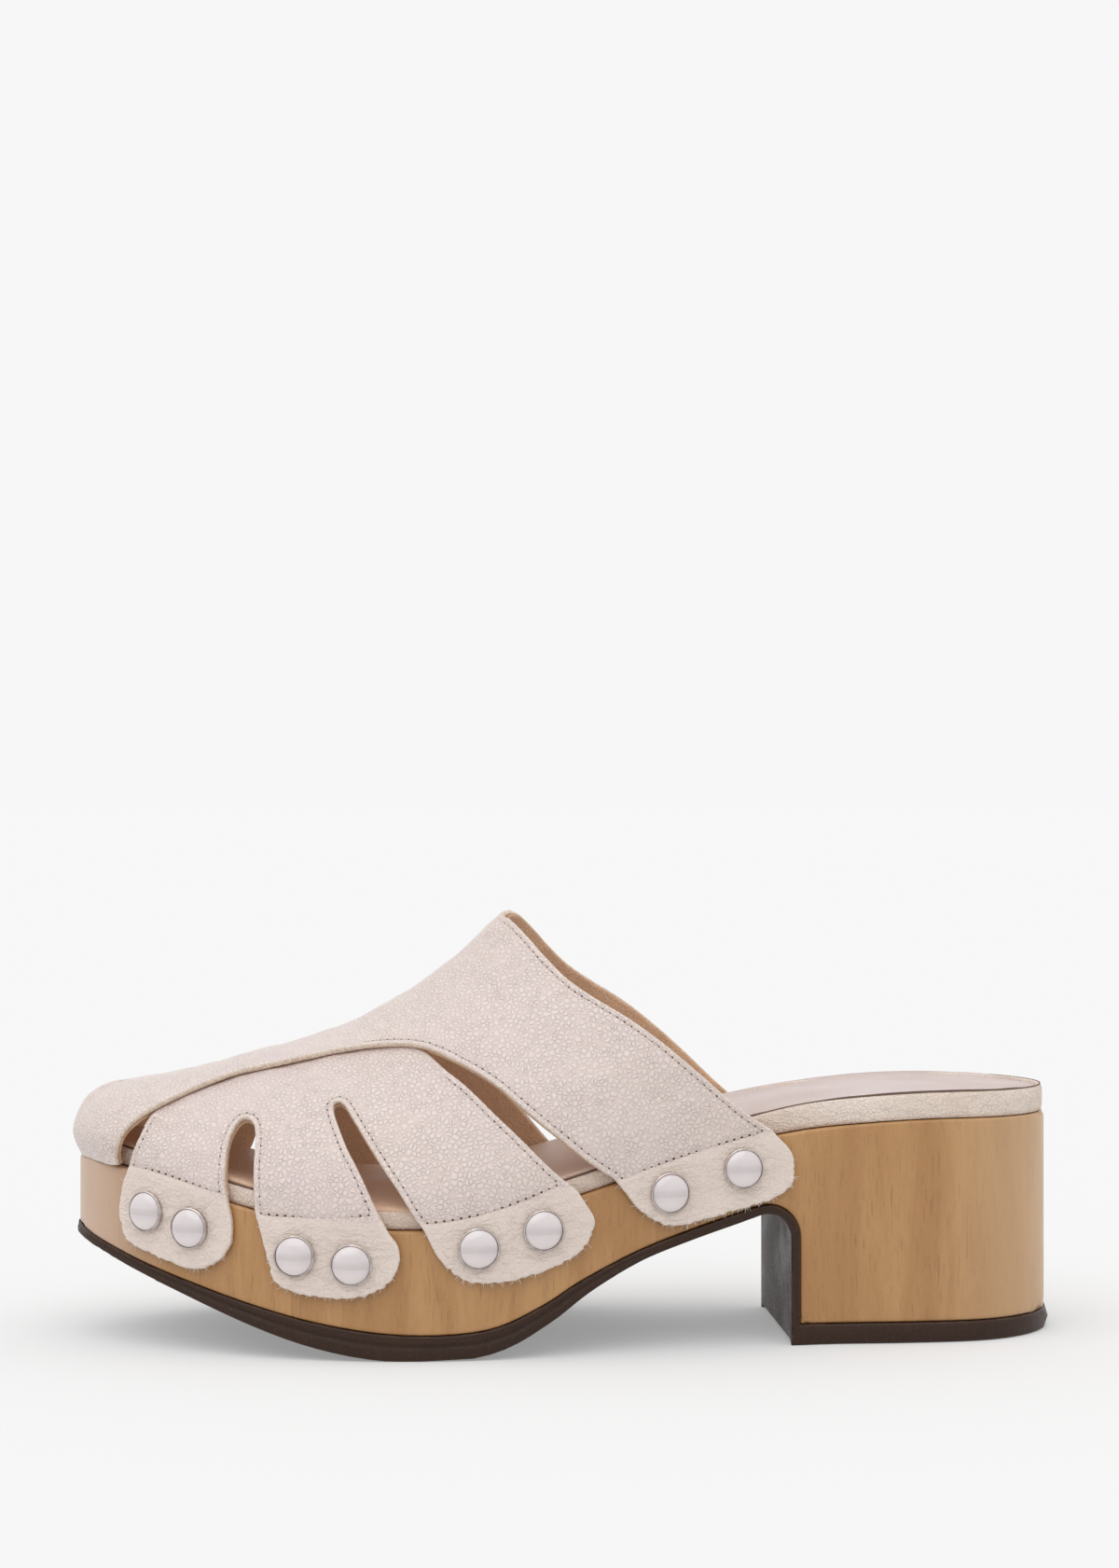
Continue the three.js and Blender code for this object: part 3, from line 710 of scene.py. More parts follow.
class Effects:
    """Shader node groups that several finishes share, each built once."""

    built: dict = {}

    @classmethod
    def get(cls, name: str) -> Tree:
        """The group of that name, built when first asked for."""
        if name not in cls.built:
            cls.built[name] = getattr(cls, name)()
        return cls.built[name]

    @staticmethod
    def start(name: str, inputs: dict, *outputs: str) -> tuple[Nodes, dict, dict]:
        """Starts a group.

        Args:
            name: Name of the group.
            inputs: Its input values by name.
            outputs: Names of the values that it puts out.

        Returns:
            The tree, its input sockets by name, and its output sockets by name.
        """
        tree = bpy.data.node_groups.new(name, "ShaderNodeTree")
        for key, default in inputs.items():
            socket = tree.interface.new_socket(key, in_out="INPUT", socket_type="NodeSocketFloat")
            socket.default_value = default
        for key in outputs:
            tree.interface.new_socket(key, in_out="OUTPUT", socket_type="NodeSocketFloat")
        source = tree.nodes.new("NodeGroupInput")
        target = tree.nodes.new("NodeGroupOutput")
        given = {key: source.outputs[key] for key in inputs}
        return Nodes(tree), given, {key: target.inputs[key] for key in outputs}

    @classmethod
    def hide_grain(cls) -> Tree:
        """Pebbled leather: rounded cells with fine valleys and a little pore noise."""
        n, given, wanted = cls.start("hide_grain", {"Cells": 900.0, "Pores": 0.2}, "Height", "Valley")
        place = n.place()
        warp = n.add("TexNoise", Vector=place, Scale=260.0, Detail=2.0).outputs["Color"]
        moved = n.add("VectorMath", {"operation": "MULTIPLY_ADD"}, in_0=warp,
                      in_1=(0.0007, 0.0007, 0.0007), in_2=place).outputs[0]
        cells = n.add("TexVoronoi", {"feature": "SMOOTH_F1"}, Vector=moved,
                      Scale=given["Cells"], Smoothness=0.15).outputs["Distance"]
        edges = n.add("TexVoronoi", {"feature": "DISTANCE_TO_EDGE"}, Vector=moved,
                      Scale=given["Cells"]).outputs["Distance"]
        dome = n.times(n.remap(cells, 0.0, 0.9, 1.0, 0.6), n.remap(edges, 0.0, 0.2))
        patch = n.remap(n.noise(place, 75.0, Detail=2.0), 0.3, 0.6, 0.8, 1.0)
        fine = n.times(n.noise(place, 5200.0, Detail=2.0), given["Pores"])
        n.tree.links.new(n.maths("ADD", n.times(dome, patch), fine), wanted["Height"])
        valley = n.times(n.remap(edges, 0.0, 0.12, 1.0, 0.0), patch)
        n.tree.links.new(valley, wanted["Valley"])
        return n.tree

    @classmethod
    def soft_creases(cls) -> Tree:
        """Short creases where leather is pulled or bent, as ridged noise."""
        n, given, wanted = cls.start("soft_creases", {"Scale": 190.0, "Amount": 1.0}, "Height")
        stretched = n.add("Mapping", Vector=n.place(), Rotation=(0.0, 0.55, 0.0),
                          Scale=(0.7, 1.0, 1.7)).outputs[0]
        noise = n.noise(stretched, given["Scale"], Detail=3.0, Roughness=0.55, Distortion=0.9)
        line = n.remap(n.maths("ABSOLUTE", n.maths("SUBTRACT", noise, 0.5)), 0.0, 0.07, 1.0, 0.0)
        n.tree.links.new(n.times(n.times(line, given["Amount"]), -1.0), wanted["Height"])
        return n.tree

    @classmethod
    def cloud(cls) -> Tree:
        """Slow colour variation over a surface, from 0 to 1."""
        n, given, wanted = cls.start("cloud", {"Scale": 40.0}, "Tone")
        noise = n.noise(n.place(), given["Scale"], Detail=4.0)
        n.tree.links.new(n.remap(noise, 0.3, 0.7), wanted["Tone"])
        return n.tree

    @classmethod
    def speckle(cls) -> Tree:
        """Fine dust and fibre specks, from 0 to 1."""
        n, given, wanted = cls.start("speckle", {"Scale": 2500.0, "Share": 0.5}, "Mask")
        over = n.maths("SUBTRACT", n.noise(n.place(), given["Scale"], Detail=3.0), given["Share"])
        n.tree.links.new(n.maths("MULTIPLY", over, 8.0, clamp=True), wanted["Mask"])
        return n.tree


@dataclass(frozen=True)
class Finish:
    """What every finish has: a name and the shader's plain settings."""

    name: str
    settings: tuple = ()

    def make(self) -> bpy.types.Material:
        """Builds the material once and returns it."""
        known = bpy.data.materials.get(self.name)
        if known:
            return known
        material = bpy.data.materials.new(self.name)
        material.use_nodes = True
        tree = material.node_tree
        shader = tree.nodes["Principled BSDF"]
        for key, value in self.settings:
            shader.inputs[key].default_value = value
        nodes = Nodes(tree)
        colour, rough, height, depth = self.wire(nodes)
        tree.links.new(colour, shader.inputs["Base Color"])
        tree.links.new(rough, shader.inputs["Roughness"])
        if height is not None:
            bump = nodes.add("Bump", Height=height, Strength=1.0, Distance=depth)
            tree.links.new(bump.outputs[0], shader.inputs["Normal"])
        return material

    def wire(self, n: Nodes) -> tuple:
        """Wires the pattern.

        Args:
            n: The material's node tree.

        Returns:
            The colour, the roughness, the height and its depth in metres.
        """
        raise NotImplementedError


@dataclass(frozen=True)
class GrainLeather(Finish):
    """Pebbled, faintly pearly leather, with painted highlights on the pebbles' tops and painted shade in
    the valleys between them. Reads flange, edge and crease from the mesh.
    """

    body: tuple = (217, 202, 195)
    rose: tuple = (217, 201, 198)
    bare: tuple = (223, 208, 197)
    crest_highlight: tuple = (228, 216, 211)
    valley_shade: tuple = (186, 163, 151)
    rim: tuple = (226, 213, 202)
    smudge: tuple = (190, 170, 160)
    cells: float = 780.0
    pores: float = 0.12
    fold_depth: float = 0.5
    depth: float = 0.00022

    def wire(self, n: Nodes) -> tuple:
        """Wires the pattern, flatter and paler on the flanges, with painted highlights on the pebbles'
        tops and painted shade in their valleys. Returns what Finish.wire does.
        """
        flange = n.attribute("flange")
        smooth = n.maths("SUBTRACT", 1.0, n.times(flange, 0.65))
        grain = n.group("hide_grain", Cells=self.cells, Pores=self.pores)
        tall, valley = (n.times(grain.outputs[key], smooth) for key in ("Height", "Valley"))
        folds = n.group("soft_creases", Scale=300.0).outputs["Height"]
        folded = n.times(folds, n.maths("ADD", n.attribute("crease"), 0.06))
        tone = n.cloud(26.0)
        colour = n.two_tone(tone, self.body, self.rose)
        colour = n.tint(colour, self.bare, flange, 0.9)
        # Painted highlight: the pebbles' tops are lightened as if lit from above.
        colour = n.tint(colour, self.crest_highlight, tall, 0.2)
        # Painted shade: the valleys between the pebbles are darkened.
        colour = n.tint(colour, self.valley_shade, valley, 0.26)
        colour = n.tint(colour, self.rim, n.remap(n.attribute("edge"), 0.1, 1.3, 0.6, 0.0))
        colour = n.tint(colour, self.smudge, n.cloud(420.0), 0.06)
        rough = n.maths("ADD", n.remap(tone, 0.0, 1.0, 0.34, 0.42), n.times(flange, 0.14))
        return colour, rough, n.maths("ADD", tall, n.times(folded, self.fold_depth)), self.depth


@dataclass(frozen=True)
class RawEdge(Finish):
    """The cut edge of leather: pale, fibrous, with darker specks."""

    pale: tuple = (222, 203, 184)
    dark: tuple = (176, 150, 128)
    lint: tuple = (236, 224, 210)
    depth: float = 0.0001

    def wire(self, n: Nodes) -> tuple:
        """Wires specks of fibre. Returns what Finish.wire does."""
        specks = n.specks(1700.0, 0.5)
        tone = n.cloud(300.0)
        colour = n.tint(linear(*self.pale), self.dark, specks, 0.55)
        colour = n.tint(colour, self.lint, tone, 0.3)
        return colour, n.remap(tone, 0.0, 1.0, 0.85, 0.95), specks, self.depth


@dataclass(frozen=True)
class Suede(Finish):
    """Napped lining leather: matt, mottled, with a fine nap."""

    body: tuple = (212, 172, 137)
    dark: tuple = (192, 148, 113)
    brushed: tuple = (222, 186, 154)
    depth: float = 0.00016

    def wire(self, n: Nodes) -> tuple:
        """Wires the nap over a coarse grain. Returns what Finish.wire does."""
        nap = n.specks(1900.0, 0.46)
        grain = n.group("hide_grain", Cells=900.0, Pores=0.5).outputs["Height"]
        colour = n.tint(n.two_tone(n.cloud(110.0), self.body, self.dark), self.brushed, nap, 0.35)
        return colour, n.remap(nap, 0.0, 1.0, 0.9, 1.0), n.maths("ADD", nap, grain), self.depth


@dataclass(frozen=True)
class CarvedWood(Finish):
    """Close-grained hardwood with cloudy figure and short dark pores, oiled to a low sheen,
    with a painted reflection that turns the rounded toe and heel ends paler."""

    light: tuple = (184, 139, 88)
    mid: tuple = (166, 120, 70)
    dark: tuple = (134, 94, 55)
    fleck: tuple = (206, 170, 126)
    toe: tuple = (198, 172, 154)
    heel: tuple = (206, 172, 134)
    depth: float = 0.00008

    def wire(self, n: Nodes) -> tuple:
        """Wires figure, streaks, pores and flecks. Returns what Finish.wire does."""
        place = n.place()
        long = n.add("Mapping", Vector=place, Rotation=(0.0, 0.06, 0.0),
                     Scale=(1.0, 0.35, 0.14)).outputs[0]
        figure = n.noise(long, 95.0, Detail=5.0, Roughness=0.6, Distortion=0.5)
        fine = n.noise(long, 900.0, Detail=4.0, Roughness=0.65)
        thin = n.add("Mapping", Vector=place, Scale=(1.0, 1.0, 0.07)).outputs[0]
        pore = n.remap(n.noise(thin, 1900.0, Detail=2.0), 0.6, 0.74, 0.0, 0.5)
        colour = n.two_tone(n.remap(figure, 0.36, 0.64), self.light, self.mid)
        colour = n.tint(colour, self.mid, n.cloud(22.0), 0.35)
        colour = n.tint(colour, self.dark, n.remap(fine, 0.5, 0.72, 0.0, 0.32))
        colour = n.tint(colour, self.dark, pore)
        colour = n.tint(colour, self.fleck, n.specks(2600.0, 0.56), 0.14)
        # Painted reflection: the toe and heel ends turn pale as if they caught the bright room at a
        # grazing angle.
        colour = n.tint(colour, self.toe, n.remap(n.along(), -0.121, -0.098, 0.75, 0.0))
        colour = n.tint(colour, self.heel, n.remap(n.along(), 0.088, 0.116, 0.0, 0.45))
        height = n.maths("SUBTRACT", n.times(fine, 0.4), pore)
        return colour, n.remap(figure, 0.3, 0.7, 0.42, 0.56), height, self.depth


@dataclass(frozen=True)
class SoleRubber(Finish):
    """Dark rubber, satin on the sides, with light dust in its texture and on its rims."""

    body: tuple = (48, 29, 19)
    dusty: tuple = (94, 72, 58)
    cells: float = 1500.0
    depth: float = 0.00005
    faded: tuple = (60, 39, 27)

    def wire(self, n: Nodes) -> tuple:
        """Wires dust over a moulded grain. Returns what Finish.wire does."""
        tone = n.cloud(60.0)
        colour = n.tint(linear(*self.body), self.faded, tone, 0.4)
        colour = n.tint(colour, self.dusty, n.specks(1500.0, 0.57), 0.18)
        colour = n.tint(colour, self.dusty, n.remap(n.attribute("edge"), 0.0, 0.6, 0.4, 0.0))
        grain = n.group("hide_grain", Cells=self.cells, Pores=0.4).outputs["Height"]
        return colour, n.remap(tone, 0.0, 1.0, 0.42, 0.58), grain, self.depth


@dataclass(frozen=True)
class SmoothSkin(Finish):
    """Fine-grained smooth leather for the footbed, with painted shade in its grain's valleys and painted
    warm bounce light from the brown lining towards the toe.
    """

    body: tuple = (206, 190, 187)
    shade: tuple = (196, 178, 172)
    cells: float = 1500.0
    depth: float = 0.00007
    wrinkle: float = 0.25
    lining_bounce: float = 0.8
    valley_shade: tuple = (160, 138, 126)
    warm: tuple = (214, 176, 146)

    def wire(self, n: Nodes) -> tuple:
        """Wires a fine grain with folds. Returns what Finish.wire does."""
        tone = n.cloud(34.0)
        grain = n.group("hide_grain", Cells=self.cells, Pores=0.3)
        folds = n.group("soft_creases", Scale=260.0, Amount=self.wrinkle)
        colour = n.two_tone(tone, self.body, self.shade)
        # Painted shade: the grain's valleys are darkened.
        colour = n.tint(colour, self.valley_shade, grain.outputs["Valley"], 0.14)
        # Painted bounce light: the sock turns warm brown towards the toe, under the vamp, as if lit by
        # light off the brown lining.
        colour = n.tint(colour, self.warm, n.remap(n.along(), -0.03, 0.03, self.lining_bounce, 0.0))
        height = n.maths("ADD", grain.outputs["Height"], folds.outputs["Height"])
        return colour, n.remap(tone, 0.0, 1.0, 0.45, 0.58), height, self.depth


@dataclass(frozen=True)
class PearlCap(Finish):
    """Glossy pearl with a faint cloud of grey and rose, and painted reflections: a grey band of the
    horizon just below its middle and a pale foot. Reads height, from -1 to 1 over the stud, from the
    mesh."""

    grey: tuple = (219, 211, 211)
    rose: tuple = (211, 202, 203)
    band: tuple = (188, 176, 177)
    foot: tuple = (232, 222, 220)

    def wire(self, n: Nodes) -> tuple:
        """Wires the cloud and the two painted reflection bands. Returns what Finish.wire does, with no
        height.
        """
        tone = n.cloud(160.0)
        height = n.attribute("height")
        colour = n.two_tone(tone, self.grey, self.rose)
        # Painted reflection: a grey band of the horizon just below the middle, and a pale foot below it.
        band = n.times(n.remap(height, -0.24, -0.12), n.remap(height, 0.02, 0.3, 1.0, 0.0))
        colour = n.tint(colour, self.band, band, 0.5)
        colour = n.tint(colour, self.foot, n.remap(height, -0.6, -0.2, 1.0, 0.0), 0.7)
        return colour, n.remap(tone, 0.0, 1.0, 0.1, 0.15), None, 0.0


@dataclass(frozen=True)
class StudMetal(Finish):
    """Plated steel, fine hairline scratches, duller in patches."""

    bright: tuple = (214, 205, 200)
    dull: tuple = (184, 173, 167)
    depth: float = 0.00001

    def wire(self, n: Nodes) -> tuple:
        """Wires patches and scratches. Returns what Finish.wire does."""
        tone = n.cloud(500.0)
        colour = n.two_tone(tone, self.bright, self.dull)
        return colour, n.remap(tone, 0.0, 1.0, 0.32, 0.5), n.specks(4000.0, 0.55), self.depth


@dataclass(frozen=True)
class Thread(Finish):
    """Sewing thread, twisted, in one tone."""

    body: tuple = (206, 190, 181)
    shade: tuple = (182, 164, 155)
    depth: float = 0.00003

    def wire(self, n: Nodes) -> tuple:
        """Wires the twist as diagonal bands. Returns what Finish.wire does."""
        twist = n.add("TexWave", {"bands_direction": "DIAGONAL"}, Vector=n.place(), Scale=900.0,
                      Distortion=1.0).outputs["Fac"]
        colour = n.tint(linear(*self.body), self.shade, twist, 0.5)
        return colour, n.remap(twist, 0.0, 1.0, 0.6, 0.8), twist, self.depth


LEATHER = GrainLeather("upper_leather_finish", (("Coat Weight", 0.12), ("Coat Roughness", 0.35)))
RAW = RawEdge("raw_edge_finish")
SUEDE = Suede("lining_suede_finish", (
    ("Sheen Weight", 0.25), ("Sheen Roughness", 0.6),
    # Painted light: the lining glows faintly, standing in for warm light bounced round inside the shoe.
    ("Emission Color", linear(206, 168, 138)), ("Emission Strength", 0.12),
))
WOOD = CarvedWood("wood_finish", (("Coat Weight", 0.35), ("Coat Roughness", 0.3)))
RUBBER = SoleRubber("outsole_rubber_finish", (("Specular IOR Level", 0.28),))
BREAST = SoleRubber("breast_texture_finish", (), (96, 88, 86), (146, 140, 137), 900.0, 0.0003)
SOCK = SmoothSkin("sock_leather_finish")
RAND = SmoothSkin("rand_leather_finish", body=(230, 215, 203), shade=(218, 200, 186), cells=900.0,
                  depth=0.00014, wrinkle=0.8, lining_bounce=0.0)
PEARL = PearlCap("pearl_finish", (("Coat Weight", 0.6), ("Coat Roughness", 0.08)))
METAL = StudMetal("stud_metal_finish", (("Metallic", 1.0),))
THREAD = Thread("thread_finish")
# Painted shade: the needle holes are dark for the shade inside them.
HOLE_SHADE = Thread("needle_hole_shade_finish", (), (78, 66, 60), (52, 43, 38))
SEAM = Thread("footbed_seam_finish", (), (112, 84, 66), (84, 62, 50))
FIBRE = Thread("leather_fibre_finish", (), (236, 226, 214), (214, 200, 184))


# Sole


def subdivide(line: Array, pitch: float) -> Array:
    """The line with extra points so that no step is longer than the pitch."""
    out = [line[:1]]
    for a, b in zip(line, line[1:]):
        steps = max(int(math.ceil(np.linalg.norm(b - a) / pitch)), 1)
        out.append(a + (b - a) * (np.arange(1, steps + 1) / steps)[:, None])
    return np.vstack(out)


def moved_line(line: Array, amount: Array | float) -> Array:
    """A flat line moved to its right."""
    return line + turn_right(line, False) * np.reshape(amount, (-1, 1))


@dataclass
class SoleBlock:
    """A solid between an upper and a lower line, seen from the side, cut to a plan outline.

    Attributes:
        name: Name of the piece.
        upper: Line of its top from toe to heel, as (x, z).
        lower: Line of its underside from toe to heel.
        proud: How far its walls stand out of the plan outline.
        top_round: Radius of the rim round the top.
        low_round: Radius of the rim round the underside.
        pitch: Distance between points on the walls.
        row_gaps: Distances from a rim at which the walls have rows of points.
    """

    name: str
    upper: Array
    lower: Array
    proud: float = 0.0
    top_round: float = 0.7
    low_round: float = 0.5
    pitch: float = 2.6
    row_gaps: tuple = (0.15, 0.4, 0.8, 1.3)

    def __post_init__(self) -> None:
        """Works out the wall line of each side."""
        self.walls = {}
        for side, h in LAST.tables["halves"].items():
            out = out_of(h["run"], side)
            line = h["line"] + out * self.proud
            line[0, 1] = LAST.tables["halves"][Side.LATERAL]["line"][0, 1]
            line[-1, 1] = 0.0
            self.walls[side] = {"line": line, "out": out, "s": lengths_of(line)}

    def at(self, side: Side, s: Array) -> tuple[Array, Array]:
        """Points and outward directions at distances along one side's wall."""
        w = self.walls[side]
        out = points_at(s, w["s"], w["out"])
        return points_at(s, w["s"], w["line"]), unit(out)

    def reach(self, side: Side, x: Array) -> Array:
        """Distance along one side's wall to the given x, by its root near the blunt ends."""
        w = self.walls[side]
        low, high = w["line"][0, 0], w["line"][-1, 0]
        xs = np.sqrt(np.maximum(w["line"][:, 0] - low, 0))
        front = np.interp(np.sqrt(np.clip(x - low, 0, None)), xs, w["s"])
        back_x = np.sqrt(np.maximum(high - w["line"][::-1, 0], 0))
        back = np.interp(np.sqrt(np.clip(high - x, 0, None)), back_x, w["s"][::-1])
        return np.where(x < (low + high) / 2, front, back)

    def relief(self, s: Array, z: Array, from_top: Array, from_low: Array) -> Array:
        """How far the wall stands out or in apart from its rims."""
        return np.zeros(len(s))

    def rim_inset(self, from_top: Array, from_low: Array) -> Array:
        """How far the rounded rims pull the wall in."""
        result = np.zeros(len(from_top))
        for radius, away in ((self.top_round, from_top), (self.low_round, from_low)):
            f = np.clip(1 - away / radius, 0, 1)
            result = np.maximum(result, radius * (1 - np.sqrt(1 - f**2)))
        return result

    def clip_x(self, line: Array, side: Side) -> Array:
        """The line between the wall's two ends, carried on where it stops short."""
        w = self.walls[side]["line"]
        low, high = w[0, 0], w[-1, 0]
        body = line[(line[:, 0] > low + 0.05).argmax() :]
        body = body[: len(body) - (body[::-1, 0] < high - 0.05).argmax()]
        ends = [[(x, self.end_height(line, x))] for x in (low, high)]
        return np.vstack([ends[0], body, ends[1]])

    @staticmethod
    def end_height(line: Array, x: float) -> float:
        """Height of a line's end carried on to x."""
        if x < line[:, 0].mean():
            ahead = max(int((line[:, 0] > x).argmax()), 1)
        else:
            ahead = min(len(line) - int((line[::-1, 0] < x).argmax()), len(line) - 1)
        a, b = line[ahead - 1], line[ahead]
        return float(a[1] + (b[1] - a[1]) / (b[0] - a[0] + 1e-9) * (x - a[0]))

    def end_column(self, low: Array, top: Array) -> Array:
        """Points up one end of a wall, close together at its rims."""
        tall = top[1] - low[1]
        near = np.array([0, *SoleBlock.row_gaps])
        rise = np.unique(np.r_[near, np.arange(2.6, tall - 2.2, self.pitch), tall - near])
        return np.stack([np.full(len(rise), low[0]), low[1] + rise], axis=1)

    def wall(self, parts: MeshParts, side: Side) -> dict:
        """Adds one side's wall.

        Args:
            parts: Where the wall is added.
            side: Side of the shoe.

        Returns:
            The wall's rim points: its top rim and its lower rim, from toe to heel.
        """
        end = self.walls[side]["s"][-1]
        chains = {}
        for key, line in (("top", self.upper), ("low", self.lower)):
            cut = subdivide(self.clip_x(line, side), self.pitch)
            chains[key] = np.stack([self.reach(side, cut[:, 0]), cut[:, 1]], axis=1)
            chains[key][[0, -1], 0] = 0.0, end
        top, low = chains["top"], chains["low"]
        front, back = (self.end_column(low[k], top[k])[1:-1] for k in (0, -1))
        loop = np.vstack([low, back, top[::-1], front[::-1]])
        rows = [loop]
        for chain, flip in ((top, 1), (low, -1)):
            for away in self.row_gaps:
                row = moved_line(chain, flip * away)
                row = row[(row[:, 0] > 0.4) & (row[:, 0] < end - 0.4)]
                rows.append(row[inside(row, loop)])
        held = np.vstack(rows)
        levels = np.arange(loop[:, 1].min(), loop[:, 1].max(), self.pitch)
        grid = fill(loop, np.arange(self.pitch, end - 1, self.pitch), levels, held, self.pitch * 0.7)
        flat, faces = triangles_of(loop, np.vstack([held[len(loop) :], grid]))
        from_top, from_low = (
            distance_to(on_floor(flat), on_floor(subdivide(chain, 0.25))) for chain in (top, low)
        )
        p, n = self.at(side, flat[:, 0])
        out = self.relief(flat[:, 0], flat[:, 1], from_top, from_low)
        out = out - self.rim_inset(from_top, from_low)
        points = np.c_[p + n * out[:, None], flat[:, 1]]
        if side is Side.MEDIAL:
            faces = faces[:, ::-1]
        parts.add(points, faces.tolist(), edge=np.minimum(from_top, from_low))
        first_top = len(low) + len(back)
        return {"low": points[: len(low)], "top": points[first_top : first_top + len(top)][::-1]}

    def cap(self, parts: MeshParts, rims: dict, key: str, look_of=None) -> None:
        """Adds the face between the two sides' rims.

        Args:
            parts: Where the face is added.
            rims: Rim points of both sides.
            key: Which rim: top or low.
            look_of: Function from x and z of a triangle's centre to its material number.
        """
        lat, med = (rims[side][key] for side in Side)
        line = self.clip_x(self.upper if key == "top" else self.lower, Side.LATERAL)
        run, med_run, line_run = (lengths_of(p) for p in (lat[:, [0, 2]], med[:, [0, 2]], line))
        med_run = med_run * (run[-1] / med_run[-1])
        line_run = line_run * (run[-1] / line_run[-1])
        loop = np.vstack([np.c_[run, lat[:, 1]], np.c_[med_run, med[:, 1]][1:-1][::-1]])
        across = np.arange(-60, 60, 4.0)
        grid = fill(loop, np.arange(1.5, run[-1], 3.0), across, loop, 1.6)
        xs, zs = points_at(grid[:, 0], line_run, line).T
        space = np.vstack([lat, med[1:-1][::-1], np.c_[xs, grid[:, 1], zs]])
        _, faces = triangles_of(loop, grid)
        if key == "low":
            faces = faces[:, ::-1]
        centres = space[faces].mean(axis=1)
        looks = look_of(centres[:, 0], centres[:, 2]).astype(int) if look_of else 0
        parts.add(space, faces.tolist(), looks, edge=np.full(len(space), 9.0))

    def build(self, materials: list, look_of=None) -> Piece:
        """Builds the block.

        Args:
            materials: Its materials.
            look_of: Function from x and z of a face of the underside to its material number.

        Returns:
            The new object.
        """
        parts = MeshParts()
        rims = {side: self.wall(parts, side) for side in Side}
        self.cap(parts, rims, "top")
        self.cap(parts, rims, "low", look_of)
        return parts.build(self.name, materials, weld=0.004)


@dataclass
class OutsoleBlock(SoleBlock):
    """The rubber outsole: a groove runs along the forepart's side, the heel lift is full."""

    proud: float = 0.8
    top_round: float = 0.35
    low_round: float = 0.7
    row_gaps: tuple = (0.2, 0.5, 0.9, 1.4, 1.9, 2.4, 2.9)
    groove_depth: float = 0.6
    groove_place: float = 0.42
    lip: float = 0.35
    lift_bulge: float = 0.55

    def relief(self, s: Array, z: Array, from_top: Array, from_low: Array) -> Array:
        """A groove below the top edge in front of the heel, a swell on the heel lift."""
        side = self.walls[Side.LATERAL]
        x = np.interp(s, side["s"], side["line"][:, 0])
        front = 1 - ease(0.5 * LAST.length, 0.62 * LAST.length, x)
        tall = from_top + from_low
        groove = -self.groove_depth * bell(from_top - self.groove_place * tall, 0.45)
        upper = -self.lip * ease(0.5, 0.0, from_top / (tall + 1e-6))
        lift = ease(0.735 * LAST.length, 0.745 * LAST.length, x)
        share = np.clip(z / LAST.outsole_heel, 0, 1)
        return front * (groove + upper) + lift * self.lift_bulge * (4 * share * (1 - share) - 0.6)


@dataclass
class Sole:
    """The wood base and the rubber outsole under it."""

    outsole_toe: float = 2.4
    outsole_arch: float = 2.6
    outsole_breast: float = 2.3
    contact: float = 0.12

    def thickness(self, line: Array) -> Array:
        """Thickness of the outsole at points of the wood's underside."""
        u = line[:, 0] / LAST.length
        front = mix(self.outsole_toe, LAST.outsole_ball, ease(0.02, 0.3, u))
        middle = mix(front, self.outsole_arch, ease(0.36, 0.58, u))
        return mix(middle, self.outsole_breast, ease(0.66, 0.72, u))

    def build(self) -> None:
        """Builds both blocks, their lines carried a little past the toe and the heel."""
        under, top = LAST.underside(), LAST.tables["top"]
        heel, seat = LAST.length + 1, LAST.outsole_heel
        wood = SoleBlock(
            "carved_wood_base",
            np.vstack([[(-1, top[0, 1])], top[::4], [(heel, top[-1, 1])]]),
            np.vstack([[(-1, under[0, 1] + 1)], under, [(LAST.breast_x, seat), (heel, seat)]]),
        )
        finish_piece(wood.build([WOOD.make()]), "wood", "wood_base")
        edge = LAST.breast_x - self.outsole_breast
        bottom = moved_line(under, self.thickness(under))
        bottom = bottom[(bottom[:, 1] > 0) | (bottom[:, 0] < edge / 2)]
        bottom = np.c_[bottom[:, 0], np.maximum(bottom[:, 1], 0)]
        bottom = bottom[bottom[:, 0] < edge - 0.01]
        lower = np.vstack([bottom, [(edge, bottom[-1, 1] - 0.5), (edge, 0), (heel + 1, 0)]])
        lift_top = seat - self.contact
        above = moved_line(under, self.contact)
        above = above[above[:, 1] > lift_top + 0.2]
        upper = [above, [(LAST.breast_x - self.contact, lift_top), (heel + 1, lift_top)]]
        outsole = OutsoleBlock("rubber_outsole", np.vstack(upper), lower)

        def look_of(x: Array, z: Array) -> Array:
            """The textured face of the heel's front, and plain rubber elsewhere."""
            return (np.abs(x - edge) < 0.4) & (z > 0.5)

        finish_piece(outsole.build([RUBBER.make(), BREAST.make()], look_of), "rubber", "outsole")


# Footbed


